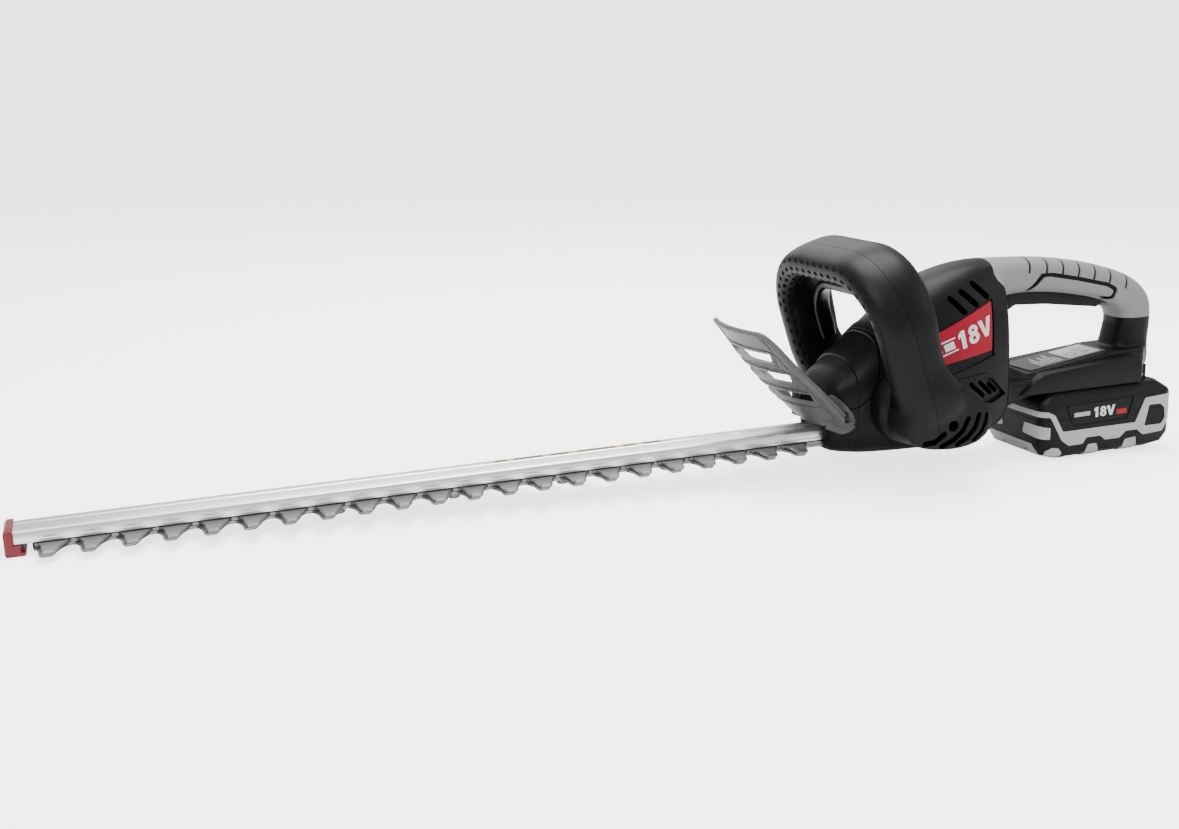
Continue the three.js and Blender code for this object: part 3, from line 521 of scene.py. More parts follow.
def worked(bm, kind, **settings):
    """Applies one modifier to a mesh and gives the result back as a new mesh."""
    source = bpy.data.meshes.new("work")
    bm.to_mesh(source)
    holder = bpy.data.objects.new("work", source)
    bpy.context.scene.collection.objects.link(holder)
    modifier = holder.modifiers.new("step", kind)
    for label, value in settings.items():
        setattr(modifier, label, value)
    graph = bpy.context.evaluated_depsgraph_get()
    result = bpy.data.meshes.new_from_object(holder.evaluated_get(graph))
    out = bmesh.new()
    out.from_mesh(result)
    bpy.data.objects.remove(holder)
    bpy.data.meshes.remove(source)
    bpy.data.meshes.remove(result)
    return out


def combined(bm, other, operation):
    """Cuts, joins or keeps the overlap of two closed shapes, and frees both.

    If one of them isn't closed, the first comes back unchanged and the step is lost. The result isn't empty then,
    so the second solver isn't tried. Lost this way: the star in three of the blade bolts and in one casing
    screw, and the screw wells in the casing.
    """
    mesh = bpy.data.meshes.new("cutter")
    other.to_mesh(mesh)
    cutter = bpy.data.objects.new("cutter", mesh)
    bpy.context.scene.collection.objects.link(cutter)
    out = worked(bm, "BOOLEAN", object=cutter, operation=operation, solver="MANIFOLD")
    if not out.faces:
        out.free()
        out = worked(bm, "BOOLEAN", object=cutter, operation=operation, solver="EXACT")
    bpy.data.objects.remove(cutter)
    bpy.data.meshes.remove(mesh)
    bm.free()
    other.free()
    return out


def cut(bm, other):
    return combined(bm, other, "DIFFERENCE")


def added(bm, other):
    return combined(bm, other, "UNION")


def common(bm, other):
    return combined(bm, other, "INTERSECT")


def blended(bm, size, rounds):
    """Melts overlapping shapes into one skin and relaxes it, so that joins become fillets."""
    out = worked(bm, "REMESH", mode="VOXEL", voxel_size=size, adaptivity=0.0)
    bm.free()
    for _ in range(rounds):
        bmesh.ops.smooth_vert(out, verts=out.verts, factor=0.5, use_axis_x=True, use_axis_y=True,
                              use_axis_z=True)
    return out


def without_flakes(bm, smallest=0.06):
    """Drops loose slivers that cutting left behind, keeping every island of a fair size."""
    bm.verts.ensure_lookup_table()
    total, waiting, loose = len(bm.verts), set(bm.verts), []
    while waiting:
        edge_of_island = [waiting.pop()]
        island = list(edge_of_island)
        while edge_of_island:
            vert = edge_of_island.pop()
            for edge in vert.link_edges:
                other = edge.other_vert(vert)
                if other in waiting:
                    waiting.remove(other)
                    island.append(other)
                    edge_of_island.append(other)
        if len(island) < total * smallest:
            loose += island
    bmesh.ops.delete(bm, geom=loose, context="VERTS")
    return bm


def half_space(side, gap=0.04):
    return block(-700, 420, gap if side > 0 else -250, 250 if side > 0 else -gap, -200, 300)


def piece(bm, name, finish, body, replaces=(), crease=32):
    """Turns a finished mesh into an object in its place, riding on its CAD body."""
    bmesh.ops.remove_doubles(bm, verts=bm.verts, dist=0.002)
    bm.transform(TOOL)
    mesh = bpy.data.meshes.new(name)
    bm.to_mesh(mesh)
    bm.free()
    mesh.materials.clear()
    mesh.materials.append(FINISH[finish])
    for face in mesh.polygons:
        face.use_smooth = True
        face.material_index = 0
    mesh.set_sharp_from_angle(angle=math.radians(crease))
    made = bpy.data.objects.new(name, mesh)
    bpy.context.scene.collection.objects.link(made)
    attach(made, body)
    if replaces:
        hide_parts(*replaces)
    return made


# ------------------------------------------------------------------ guide bar, blades and tip
BAR_FRONT, BAR_REAR, BAR_HALF, BAR_HIGH = -576, 20, 14, 9
TOOTH_PITCH, TOOTH_COUNT, FIRST_TOOTH, TOOTH_REACH = 25, 22, -553, 21
BLADE_THICK, UPPER_TOP = 2.0, -0.35
LOWER_TOP = UPPER_TOP - BLADE_THICK - 0.3
YOKE_REACH = 22.4
BOLT_PLACES = [-451 + 81 * i for i in range(6)]


def guide_bar():
    half = [(0, 8.7), (3.2, 8.7), (3.7, 9), (10.6, 9), (12.2, 8.6), (13.3, 7.6), (13.8, 6.1), (14, 4.6),
            (13.6, 4.2), (13.6, 2.6), (14, 2.2), (14, 0.5), (13.5, 0), (4.9, 0), (4.5, 0.4), (4.5, 2.6), (0,
                                                                      2.6)]
    outline = half + [(-y, z) for y, z in reversed(half[1:-1])]
    bar = front_slab(outline, BAR_FRONT, BAR_REAR)
    piece(bar, "bar_extrusion", "aluminium", "body", ["guide_bar"], crease=20)


def tooth_edge(side, shift):
    edge = []
    for i in range(TOOTH_COUNT):
        x = FIRST_TOOTH + TOOTH_PITCH * i + shift
        tip = side * (BAR_HALF + TOOTH_REACH - 1.2)
        edge += [(x - 10.6, side * (BAR_HALF + 0.2)), (x - 9.2, side * (BAR_HALF + 1.6)),
                 (x - 7.8, side * (BAR_HALF + 8)), (x - 7.2, tip - side * 1.6), (x - 6.2, tip), (x + 0.6,
                                                                      tip),
                 (x + 2.0, tip - side * 1.6), (x + 6.2, side * (BAR_HALF + 7)), (x + 8.8,
                                                                      side * (BAR_HALF + 1.4)),
                 (x + 10.6, side * (BAR_HALF + 0.2))]
    return edge


def blade(name, node, top, shift):
    front = FIRST_TOOTH - 12.5
    bottom = top - BLADE_THICK
    yoke_front, yoke_rear = CRANK_X - YOKE_REACH - 3.5, CRANK_X + YOKE_REACH + 3.8
    near, far = tooth_edge(-1, shift), tooth_edge(1, shift)[::-1]
    outline = [(front, -BAR_HALF + 3), (front + 1.5, -BAR_HALF)] + near
    outline += [(yoke_front - 6, -BAR_HALF), (yoke_front + 2, -20), (yoke_rear, -20), (yoke_rear, 20),
                (yoke_front + 2, 20), (yoke_front - 6, BAR_HALF)]
    outline += far + [(front + 1.5, BAR_HALF), (front, BAR_HALF - 3)]
    plate = plan_slab(outline, bottom, top)
    ground_side = bottom if shift < 0 else top
    edges = [e for e in plate.edges
             if all(abs(v.co.z - ground_side) < 0.01 and abs(v.co.y) > BAR_HALF + 1 and v.co.x < 0
                    for v in e.verts)]
    bmesh.ops.bevel(plate, geom=edges, offset=1.0, offset_type="OFFSET", affect="EDGES", segments=1,
                    profile=0.5,
                    material=-1, clamp_overlap=True)
    bmesh.ops.triangulate(plate, faces=[f for f in plate.faces if len(f.verts) > 12])
    reach = 6.25 + 3.1
    slots = [plan_slab([(x + u, v) for u, v in ribbon([(-reach + 2.9, 0), (reach - 2.9, 0)], 5.8)],
                       bottom - 1, top + 1) for x in BOLT_PLACES]
    window = block(CRANK_X - YOKE_REACH, CRANK_X + YOKE_REACH, -16.4, 16.4, bottom - 1, top + 1)
    plate = cut(plate, joined(window, *slots))
    piece(plate, name, "blade", node, [node], crease=20)


def blade_bolt(i, x):
    under = LOWER_TOP - BLADE_THICK - 0.3
    down = point(0, 0, -1)
    shape = turned([(0, 2.2), (1.5, 2.2), (1.9, 2.0), (3.3, 2.0), (4.2, 1.6), (4.6, 0.8), (4.6, -3.0), (5.2,
                                                                      -3.2),
                    (5.2, -4.0), (2.6, -4.0), (2.6, -10.0), (0, -10.0)], point(x, 0, under - 4), down, 36)
    star = [(2.0 * math.cos(t), 2.0 * math.sin(t)) if k % 2 else (1.45 * math.cos(t), 1.45 * math.sin(t))
            for k, t in enumerate(2 * math.pi * j / 12 for j in range(12))]
    shape = cut(shape, plan_slab([(x + u, v) for u, v in star], under - 8, under - 4.2))
    piece(shape, "bolt_%d" % i, "steel", "body", ["blade_bolt_%d" % i])


def tip_guard():
    outline = [(-582, -6.2), (-581, -7.4), (-570.4, -7.4), (-569.4, -6.4), (-569.4, -5.0), (-572, -5.0),
               (-572, -0.3), (-576.3, -0.3), (-576.3, 9.4), (-580.4, 9.4), (-582, 7.8)]
    guard = side_slab(outline, -16, 16, rim=0.9)
    ribs = [side_slab([(-583, z), (-581.6, z), (-581.6, z + 0.7), (-583, z + 0.7)], -13, 13)
            for z in (-3.5, -0.5, 2.5, 5.5)]
    piece(cut(guard, joined(*ribs)), "tip_cap", "dark_red", "body", ["tip_guard"])


def bar_sticker():
    film = block(-262, -120, 3.9, 10.2, 9.02, 9.14, corner=0)
    piece(film, "bar_sticker", "yellow", "body")
    bars = [block(x, x + w, 5.0, 9.0, 9.13, 9.2) for x, w in ((-256, 9), (-242, 22), (-214, 14), (-194, 30),
                                                              (-158, 10), (-142, 14))]
    piece(joined(*bars), "bar_sticker_print", "label_dark", "body")


guide_bar()
blade("cutter_upper", "upper_blade", UPPER_TOP, 0.0)
blade("cutter_lower", "lower_blade", LOWER_TOP, -1.5)
for number, bolt_x in enumerate(BOLT_PLACES, 1):
    blade_bolt(number, bolt_x)
tip_guard()
bar_sticker()

# ------------------------------------------------------------------ pod, handle and foot
WAIST = 32
POD_SECTIONS = [
    [-5, -7.5, 43, 25], [3, -9.5, 52, 30], [20, -11.5, 64.5, 36], [42, -12.5, 83.5, 39.5], [64, -13, 101.5,
                                                                      41.5],
    [86, -13, 116, 42.5], [112, -11.5, 123.5, 42], [132, -8, 126, 39], [146, 0, 126, 35], [152, 10, 124, 31],
]
HANDLE_SECTIONS = [
    [118, 101, 20, 25], [140, 108, 17.5, 22], [165, 110.5, 14.5, 18], [195, 109, 14, 17], [225, 104.5, 14,
                                                                      17],
    [250, 98.5, 14, 17], [270.5, 90, 15.2, 17], [282.5, 79, 16.5, 17], [284.8, 66, 16, 17], [283, 52, 17, 17],
    [281, 36, 19, 18],
]
FOOT_RIDGE = [(132, 58), (150, 45), (174, 34), (254, 44.8), (292, 45.5), (296, 40), (294, 22), (180, 22),
              (150, 21),
              (132, 16)]
FOOT_SKIRT = [(160, 20), (175, 31), (183, 34.5), (268, 42), (274, 37.5), (292, 33), (292, 19.6), (168, 19.6)]


def pod_row(x):
    rows = POD_SECTIONS
    for i in range(len(rows) - 1):
        if x <= rows[i + 1][0] or i == len(rows) - 2:
            t = (x - rows[i][0]) / (rows[i + 1][0] - rows[i][0])
            before, after = rows[max(i - 1, 0)], rows[min(i + 2, len(rows) - 1)]
            return [curve(before[k], rows[i][k], rows[i + 1][k], after[k], t) for k in range(1, 4)]
    return rows[-1][1:]


def pod(inset, start=-5.0, end=152.0, soft=6.0, count=56):
    """The pod's skin moved inwards by `inset`, with its two ends rounded over."""
    start, end = start + inset, end - inset
    marks = [start + soft * t for t in (0, 0.08, 0.25, 0.5, 0.75)]
    marks += [start + soft + (end - start - 2 * soft) * i / 34 for i in range(35)]
    marks += [end - soft * t for t in (0.75, 0.5, 0.25, 0.08, 0)]
    rings = []
    for x in marks:
        low, high, wide = pod_row(min(max(x, -5.0), 152.0))
        near = min(x - start, end - x)
        drop = soft - math.sqrt(max(soft ** 2 - max(soft - near, 0) ** 2, 0)) if near < soft else 0
        take = inset + drop
        rings.append(oval(point(x, 0, WAIST), point(0, 1, 0), point(0, 0, 1), wide - take,
                          high - WAIST - take,
                          WAIST - low - take, 2.5, 5, count))
    return skin(rings)


def pod_side(x, z):
    """How far the pod's skin stands from the mid-plane at a place on its side view."""
    low, high, wide = pod_row(x)
    if z >= WAIST:
        share, square = (z - WAIST) / (high - WAIST), 2.5
    else:
        share, square = (WAIST - z) / (WAIST - low), 5
    return wide * max(1 - min(share, 1) ** square, 0) ** (1 / square)


def rear_handle(inset, count=40):
    rows = through(HANDLE_SECTIONS, 5)
    rings = []
    for i, (x, z, thick, wide) in enumerate(rows):
        a, b = rows[max(i - 1, 0)], rows[min(i + 1, len(rows) - 1)]
        along = point(b[0] - a[0], 0, b[1] - a[1]).normalized()
        up = point(-along.z, 0, along.x)
        rings.append(oval(point(x, 0, z), point(0, 1, 0), up, wide - inset, thick - inset, thick - inset, 2.7,
                          None, count))
    return skin(rings)


def battery_channel():
    return joined(block(184, 330, -24.5, 24.5, 24, 31), block(184, 330, -20.5, 20.5, 10, 24.001))


GRIP_SKIN, GRIP_END = 2.2, 69


def grip_zone(margin):
    zone = [(140, 140), (141.5, 124), (140, 116), (141.5, 111.5), (146, 107), (152, 101), (155, 97.5), (157,
                                                                      84),
            (240, 60), (240, GRIP_END), (330, GRIP_END), (330, 140)]
    zone = [(x - margin if x < 200 else x, z - margin if x > 200 and z < 100 else z) for x, z in zone]
    return side_slab(zone, -60, 60)


def vent_cutters():
    cuts = []
    for a, b in (((95, 101.5), (104.5, 91.5)), ((105.5, 105.8), (116, 96)), ((117, 110.8), (127, 101))):
        cuts.append(side_slab(ribbon([a, b], 5.0, 6), -60, -18))
    for a, b in (((101.5, 33.5), (113, 24.5)), ((109, 36), (121, 26)), ((117.5, 36.5), (128, 27.5)),
                 ((126, 34.5), (133, 28.5))):
        cuts.append(side_slab(ribbon([a, b], 3.6, 6), -60, -28))
    return both_sides(joined(*cuts))


VENT_BED = [(92, 33), (98, 39), (121, 41.5), (128, 39), (143, 25), (128, 19.5), (116, 22)]


def carved_sides():
    """Shallow sinkings in the pod's sides: round the badge, under it and round the lower vents."""
    badge_bed = side_slab([(63, 73), (131, 99.5), (131.6, 96.5), (129.6, 60), (130.6, 56.4), (86, 47.5),
                           (70, 49)],
                          -60, -20)
    vent_bed = side_slab(VENT_BED, -60, -20)
    return both_sides(badge_bed), both_sides(vent_bed)


def raised_frames():
    """A raised lip round the lower vents."""
    outer = side_slab([(89, 33), (96, 41.5), (122, 44), (130, 41), (147, 24.5), (128, 17), (114, 20)], -60,
                      -20,
                      corner=1.5)
    inner = side_slab(VENT_BED, -70, -10)
    lip = common(cut(outer, inner), pod(-0.9))
    return both_sides(lip)


def body_skin():
    """Pod, handle and foot ridge run together into one moulding, before it is split."""
    heel = plan_slab([(100, -60), (264, -60), (276, -31), (290, -18), (300, -12), (300, 12), (290, 18),
                      (276, 31),
                      (264, 60), (100, 60)], -10, 90)
    ridge = common(side_slab(FOOT_RIDGE, -24, 24, rim=1.5), heel.copy())
    neck = side_slab([(134, 46), (150, 33), (172, 30), (186, 33), (186, 21), (150, 12), (138, 6)], -31, 31,
                     rim=2)
    flesh = blended(joined(pod(0), rear_handle(0), ridge, neck), 1.35, 7)
    skirt = common(side_slab(FOOT_SKIRT, -33, 33, corner=0.8, rim=1.6), heel)
    return added(flesh, skirt)


# Screws into the right-hand side: x, z and how deep the head sits from the mid-plane.
CASING_SCREWS = [(40, 60, 22), (112, 4, 30), (136, 30, 24), (128, 108, 12), (283, 66, 8)]


def screw_wells():
    wells = []
    for x, z, seat in CASING_SCREWS:
        wells.append(turned([(0, seat), (4.2, seat), (4.2, 60), (0, 60)], point(x, 0, z), point(0, 1, 0), 28))
    return joined(*wells)


def nose_details(whole):
    """A cap over the gear case with two collars on it, a seam groove, and a ledge under the badge."""
    cap = common(side_slab([(16, 30), (16, 130), (37, 130), (33, 76), (29, 52), (22, 36)], -46, 46,
                           corner=2), pod(-0.5))
    whole = added(whole, cap)
    collars = side_slab([(15.2, 46), (15.2, 120), (21, 120), (20, 62), (17.5, 50)], -40, 40, corner=1)
    collars = joined(collars, side_slab([(33.5, 62), (38, 120), (45, 120), (40.5, 70)], -40, 40, corner=1))
    whole = added(whole, common(collars, pod(-1.3)))
    groove = cut(side_slab(ribbon([(40, 125), (36, 76), (31.5, 51), (24, 34), (14, 27), (-9, 23)], 0.9, 4),
                           -60, 60),
                 pod(1.6))
    whole = cut(whole, groove)
    ledge = cut(side_slab([(84, 54), (86, 49.2), (128, 60), (129.5, 56.4), (88, 44.5), (80, 47)], -60, 60,
                          corner=0.8),
                pod(1.0))
    return cut(whole, ledge)


def clamshell():
    whole = body_skin()
    badge_bed, vent_bed = carved_sides()
    whole = added(whole, raised_frames())
    whole = cut(whole, cut(badge_bed, pod(1.3)))
    whole = cut(whole, cut(vent_bed, pod(2.2)))
    whole = nose_details(whole)
    nose = common(whole.copy(), block(-40, 14.7, -90, 90, -60, 140))
    body = cut(whole.copy(), block(-40, 15, -90, 90, -60, 140))
    grip = common(whole, grip_zone(0.0))
    grip = cut(grip, rear_handle(GRIP_SKIN - 0.3))
    body = added(cut(body, grip_zone(0.3)), rear_handle(GRIP_SKIN))
    body = cut(body, pod(2.6, -20, 152))
    body = cut(body, rear_handle(GRIP_SKIN + 2.4))
    body = cut(body, battery_channel())
    body = cut(body, block(160, 260.5, -10, 10, 70, 106, corner=2))
    grip = cut(grip, block(160, 260.5, -10, 10, 60, 106, corner=2))
    body = cut(body, block(-30, 24, -17, 17, -5.2, BAR_HIGH + 0.3))
    body = cut(body, vent_cutters())
    body = cut(body, screw_wells())
    return without_flakes(body), nose, without_flakes(grip)


def nose_cover(nose):
    nose = cut(nose, pod(2.4, -5, 60))
    nose = cut(nose, block(-30, 24, -17, 17, -5.2, BAR_HIGH + 0.3, corner=0.6))
    piece(nose, "nose_moulding", "casing", "body", ["nose_cover"])


PANEL = [(176, 97.5), (184, 102.5), (190, 109), (196, 109), (223, 103.5), (250, 97), (257, 93), (255, 88),
         (230, 91.5), (203, 95.5)]


def grip_grooves():
    """Seven finger grooves over the top of the grip, closed at their lower ends."""
    cuts = []
    for x, end in ((183, 115.5), (200, 113.5), (216, 111.5), (232, 109), (248, 105.5), (264, 101.5), (281,
                                                                      96)):
        lean = (x - 183) * 0.05
        cuts.append(side_slab(ribbon([(x + 1.5 + lean, 150), (x - 7.5 - lean, end - 1.5)], 2.3, 6), -60, 60))
    return cuts


PANEL_BED = [(162, 88), (171, 96), (180, 104.5), (186.5, 112.3), (198, 112), (224.5, 106.5), (252, 99.8),
             (261, 94.8), (259, 86), (230, 86), (200, 86)]


def grip_panel(side):
    y0, y1 = sorted((side * 10.6, side * 60))
    panel = side_slab(PANEL, y0, y1, corner=1.6)
    return cut(common(panel, rear_handle(0.2)), rear_handle(GRIP_SKIN - 0.2))


body_mesh, nose_mesh, grip_mesh = clamshell()
nose_cover(nose_mesh)
grip_mesh = cut(grip_mesh, both_sides(side_slab(PANEL_BED, -60, -10.3, corner=1.6)))
grooves = joined(*grip_grooves())
grip_mesh = cut(grip_mesh, grooves.copy())
inlay = cut(common(grooves, rear_handle(1.0)), rear_handle(GRIP_SKIN - 0.2))
piece(inlay, "grip_lines", "hand_grip", "body")
grip_mesh = cut(grip_mesh, block(284, 330, -1.1, 1.1, 60, 120))
for tag, side in (("left", -1), ("right", 1)):
    shell_half = common(body_mesh.copy(), half_space(side))
    piece(shell_half, "casing_%s" % tag, "casing", "body", ["housing_%s" % tag])
    grip_half = common(grip_mesh.copy(), half_space(side))
    piece(grip_half, "soft_grip_%s" % tag, "grey_grip", "body", ["grip_%s" % tag])
    piece(grip_panel(side), "soft_panel_%s" % tag, "grey_grip", "body", ["grip_panel_%s" % tag])

# ------------------------------------------------------------------ front handle
LOOP_BASE_X, LOOP_LEAN = 57, math.atan(0.32)
LOOP_UP = point(-math.sin(LOOP_LEAN), 0, math.cos(LOOP_LEAN))
LOOP_BACK = point(math.cos(LOOP_LEAN), 0, math.sin(LOOP_LEAN))
LOOP_SPAN, LOOP_TOP, LOOP_DEPTH, LOOP_THICK, LOOP_BEND = 75.5, 139.5, 22, 12, 47
# One foot of the handle, from the pod outwards: y, rise, turn, set back, half depth, half thickness.
LOOP_FOOT = [[-36, 24, -90, 6, 26, 19], [-58, 22, -80, 8, 30, 19], [-69, 25, -40, 9, 31, 17],
             [-74, 38, -10, 6, 26, 15]]


def on_loop(y, rise, back=0.0):
    return point(LOOP_BASE_X, y, 0) + LOOP_UP * rise + LOOP_BACK * back


def arch(span, top, bottom, bend, back, depth, thick, corner_steps=10):
    """Rows up one side and round the corner, mirrored down the other side."""
    rows = [[-span, bottom + (top - bend - bottom) * t, 0, back, depth, thick] for t in (0, 0.5)]
    for i in range(corner_steps + 1):
        turn = 90 * i / corner_steps
        c, s = math.cos(math.radians(turn)), math.sin(math.radians(turn))
        rows.append([-span + bend * (1 - c), top - bend * (1 - s), turn, back, depth, thick])
    return rows


def both_arms(rows):
    return rows + [[-y, rise, 180 - turn, *rest] for y, rise, turn, *rest in reversed(rows)]


def outward_at(turn):
    return point(0, -math.cos(math.radians(turn)), 0) + LOOP_UP * math.sin(math.radians(turn))


def handle_rows():
    upright = arch(LOOP_SPAN, LOOP_TOP, 60, LOOP_BEND, 0, LOOP_DEPTH, LOOP_THICK)
    for row in upright:
        fuller = min(1, max(0, (row[1] - 70) / 60))
        row[3] += 3.5 * fuller
        row[4] += 2.5 * fuller
    left = through(LOOP_FOOT + upright, 3)
    return both_arms(left)


def swept_handle(rows, square, count=36):
    return skin([oval(on_loop(y, rise, back), LOOP_BACK, outward_at(turn), depth, thick, thick, square, None,
                      count) for y, rise, turn, back, depth, thick in rows])


def dimples():
    """Staggered rows of small hollows over the front of the handle and round its inner edge."""
    rows = handle_rows()
    places = [on_loop(r[0], r[1], r[3]) for r in rows]
    walked = [0.0]
    for a, b in zip(places, places[1:]):
        walked.append(walked[-1] + (b - a).length)
    total, pitch = walked[-1], 9.6
    whole = bmesh.new()
    for row, angle in enumerate((160, 182, 204, 226, 246)):
        reach = total * (0.33, 0.27, 0.13, 0.15, 0.33)[row]
        at = reach + (row % 2) * pitch / 2
        while at < total - reach:
            i = max(k for k, w in enumerate(walked) if w <= at)
            i = min(i, len(rows) - 2)
            t = (at - walked[i]) / max(walked[i + 1] - walked[i], 1e-6)
            here = [a + (b - a) * t for a, b in zip(rows[i], rows[i + 1])]
            y, rise, turn, back, depth, thick = here
            c, s = math.cos(math.radians(angle)), math.sin(math.radians(angle))
            u = depth * math.copysign(abs(c) ** (2 / 2.8), c)
            v = thick * math.copysign(abs(s) ** (2 / 2.8), s)
            centre = on_loop(y, rise, back) + LOOP_BACK * u + outward_at(turn) * v
            along = (places[i + 1] - places[i]).normalized()
            ball = bmesh.ops.create_icosphere(whole, subdivisions=2, radius=1.75)["verts"]
            bmesh.ops.scale(whole, vec=(1, 1, 1.5), verts=ball)
            bmesh.ops.rotate(whole, cent=(0, 0, 0), matrix=along.to_track_quat("Z", "Y").to_matrix(),
                             verts=ball)
            bmesh.ops.translate(whole, vec=centre, verts=ball)
            at += pitch
    return whole


def hub_slots():
    """Cooling slots and a round hole through the outer face of each handle foot."""
    cuts = [side_slab(ribbon(path, width, 6), -95, -72) for path, width in (
        ([(40, 8), (48, 8.5), (56, 13.5)], 4.4),
        ([(54, 4.6), (64, 8.6), (71.5, 14.5), (76, 23)], 4.2),
        ([(67, 4.6), (76, 9.4), (82, 16), (85, 25)], 4.0),
        ([(81, 6.4), (87.5, 12), (91, 20), (91.5, 25)], 3.0))]
    cuts.append(turned([(0, 0), (4.1, 0), (4.1, 23), (0, 23)], point(63.5, -95, 19), point(0, 1, 0), 28))
    return both_sides(joined(*cuts))


def front_handle():
    drum = turned([(0, 0), (27.2, 0), (28, 0.8), (28, 13), (25.5, 17), (21, 19), (0, 19)], point(51, -36, 27),
                  point(0, -1, 0), 48)
    hub = side_slab([(26, 13), (31, 8), (38, 4.5), (47, 2.5), (60, 1), (74, 1.2), (86, 4), (94, 10), (97.5,
                                                                      18),
                     (96, 27), (88, 37), (70, 50), (44, 50), (28, 32)], -85.5, -56, corner=4, rim=4.5)
    whole = blended(joined(swept_handle(handle_rows(), 2.8), drum, mirrored(drum), hub, mirrored(hub)), 1.3,
                    8)
    whole = cut(whole, pod(-0.35, -5, 152))
    whole = cut(whole, hub_slots())
    ring = turned([(21.4, 0), (22.9, 0), (22.9, 12), (21.4, 12), (21.4, 0)], point(51, -52.6, 27), point(0,
                                                                      -1, 0), 48)
    whole = cut(whole, both_sides(common(ring, block(0, 46, -100, 0, -10, 80))))
    split = [slab([point(0, -200, -300), point(0, 200, -300), point(0, 200, 300), point(0, -200, 300)],
                  point(0.15 * sign, 0, 0), point(400 * sign, 0, 0)) for sign in (-1, 1)]
    for half in split:
        half.transform(Matrix.Translation((LOOP_BASE_X, 0, 0)) @ Matrix.Rotation(-LOOP_LEAN, 4, "Y"))
    front = common(whole.copy(), split[0])
    back = common(whole, split[1])
    front = cut(front, dimples())
    front, back = without_flakes(front), without_flakes(back)
    piece(front, "handle_front", "hand_grip", "body", ["front_handle_grip"], crease=35)
    piece(back, "handle_rear", "casing", "body", ["front_handle_back"], crease=35)


def switch_bar():
    rows = both_arms(arch(LOOP_SPAN - LOOP_THICK - 4.8, LOOP_TOP - LOOP_THICK - 10.4, 66, 34, 5, 7, 4))
    rows[0][4:] = [6, 3]
    rows[-1][4:] = [6, 3]
    piece(swept_handle(rows, 3.2, 28), "switch_loop", "gloss", "switch_bar",
          ["front_switch_bar"])


front_handle()
switch_bar()

# ------------------------------------------------------------------ hand shield
SHIELD_ROWS = [[-10, 12, 37, 18], [-23, 24, 44, 19], [-43, 46, 48, 17], [-58, 65, 47, 13], [-69, 82, 44, 9],
               [-75, 90, 39, 7]]
SHIELD_THICK = 2.8
SHIELD_SCREW = (2, 22)


def shield_at(t, row, forward=0.0):
    x, z, half, sweep = row
    return point(x + sweep * t * t - forward, half * t, z - forward * 0.4)


def bead(path, radius, count=10):
    """A thin raised cord of plastic along a path."""
    rings = []
    for i, place in enumerate(path):
        way = (path[min(i + 1, len(path) - 1)] - path[max(i - 1, 0)]).normalized()
        side = way.cross(point(1, 0, 0.4)).normalized()
        rings.append(oval(place, side, side.cross(way), radius, radius, radius, 2.2, None, count))
    return skin(rings)


def shield_sheet(rows, proud=0.0, across=30):
    """The curved sheet itself; proud thickens it towards the blades."""
    rings = []
    for row in rows:
        front = [shield_at(-1 + 2 * i / across, row, proud) for i in range(across + 1)]
        back = [shield_at(1 - 2 * i / across, row) + point(SHIELD_THICK, 0, SHIELD_THICK * 0.4)
                for i in range(across + 1)]
        rings.append(front + back)
    return skin(rings)


def hand_shield():
    rows = through(SHIELD_ROWS, 6)
    shield = shield_sheet(rows)
    rim = [shield_at(-0.975, row, -0.6) for row in rows[4:-1]]
    rim += [shield_at(t, rows[-1], -0.6) for t in (-0.93, -0.85, -0.5, 0, 0.5, 0.85, 0.93)]
    rim += [shield_at(0.975, row, -0.6) for row in reversed(rows[4:-1])]
    shield = added(shield, bead(rim, 2.1, 14))
    inner = [shield_at(-0.86, row, 0.1) for row in rows[5:-3]]
    inner += [shield_at(t, rows[-3], 0.1) for t in (-0.8, -0.5, 0, 0.5, 0.8)]
    inner += [shield_at(0.86, row, 0.1) for row in reversed(rows[5:-3])]
    shield = added(shield, bead(inner, 0.7))
    for z, half in ((39, 35), (55, 33), (71, 30)):
        frame = front_slab([(-half - 8, z + 5.6), (-half - 4, z - 5.2), (half + 4, z - 5.2), (half + 8,
                                                                      z + 5.6)],
                           -120, 0, corner=2)
        frame = common(frame, shield_sheet(rows, 1.0))
        shield = added(shield, frame)
        window = front_slab([(-half - 6, z + 4), (-half - 2, z - 3.6), (half + 2, z - 3.6), (half + 6,
                                                                      z + 4)], -120, 0,
                            corner=1.2)
        shield = cut(shield, window)
        for offset in (-7.2, 7.2):
            row = min(rows, key=lambda r: abs(r[1] - z - offset))
            span = (half + 4) / row[2]
            arc = [shield_at(span * (-1 + i / 6), row, 0.1) for i in range(13)]
            shield = added(shield, bead(arc, 0.7))
    lobe = side_slab([(-9, 12), (2, 7.5), (9, 10), (11.4, 17), (10, 23), (4, 31), (-3, 38), (-8, 38), (-12,
                                                                      28)],
                     -42, 42, corner=2)
    lobe = common(lobe, pod(-3.2, -8, 60))
    lobe = cut(lobe, block(-60, 60, -27, 27, -60, 120))
    shield = added(shield, lobe)
    shield = cut(shield, pod(-0.4, -5.4, 60))
    x, z = SHIELD_SCREW
    well = turned([(0, 34.2), (4.4, 34.2), (4.4, 60), (0, 60)], point(x, 0, z), point(0, 1, 0), 24)
    shank = turned([(0, 20), (2, 20), (2, 60), (0, 60)], point(x, 0, z), point(0, 1, 0), 16)
    shield = cut(cut(shield, both_sides(well)), both_sides(shank))
    piece(shield, "shield_moulding", "shield", "body", ["hand_shield"], crease=28)


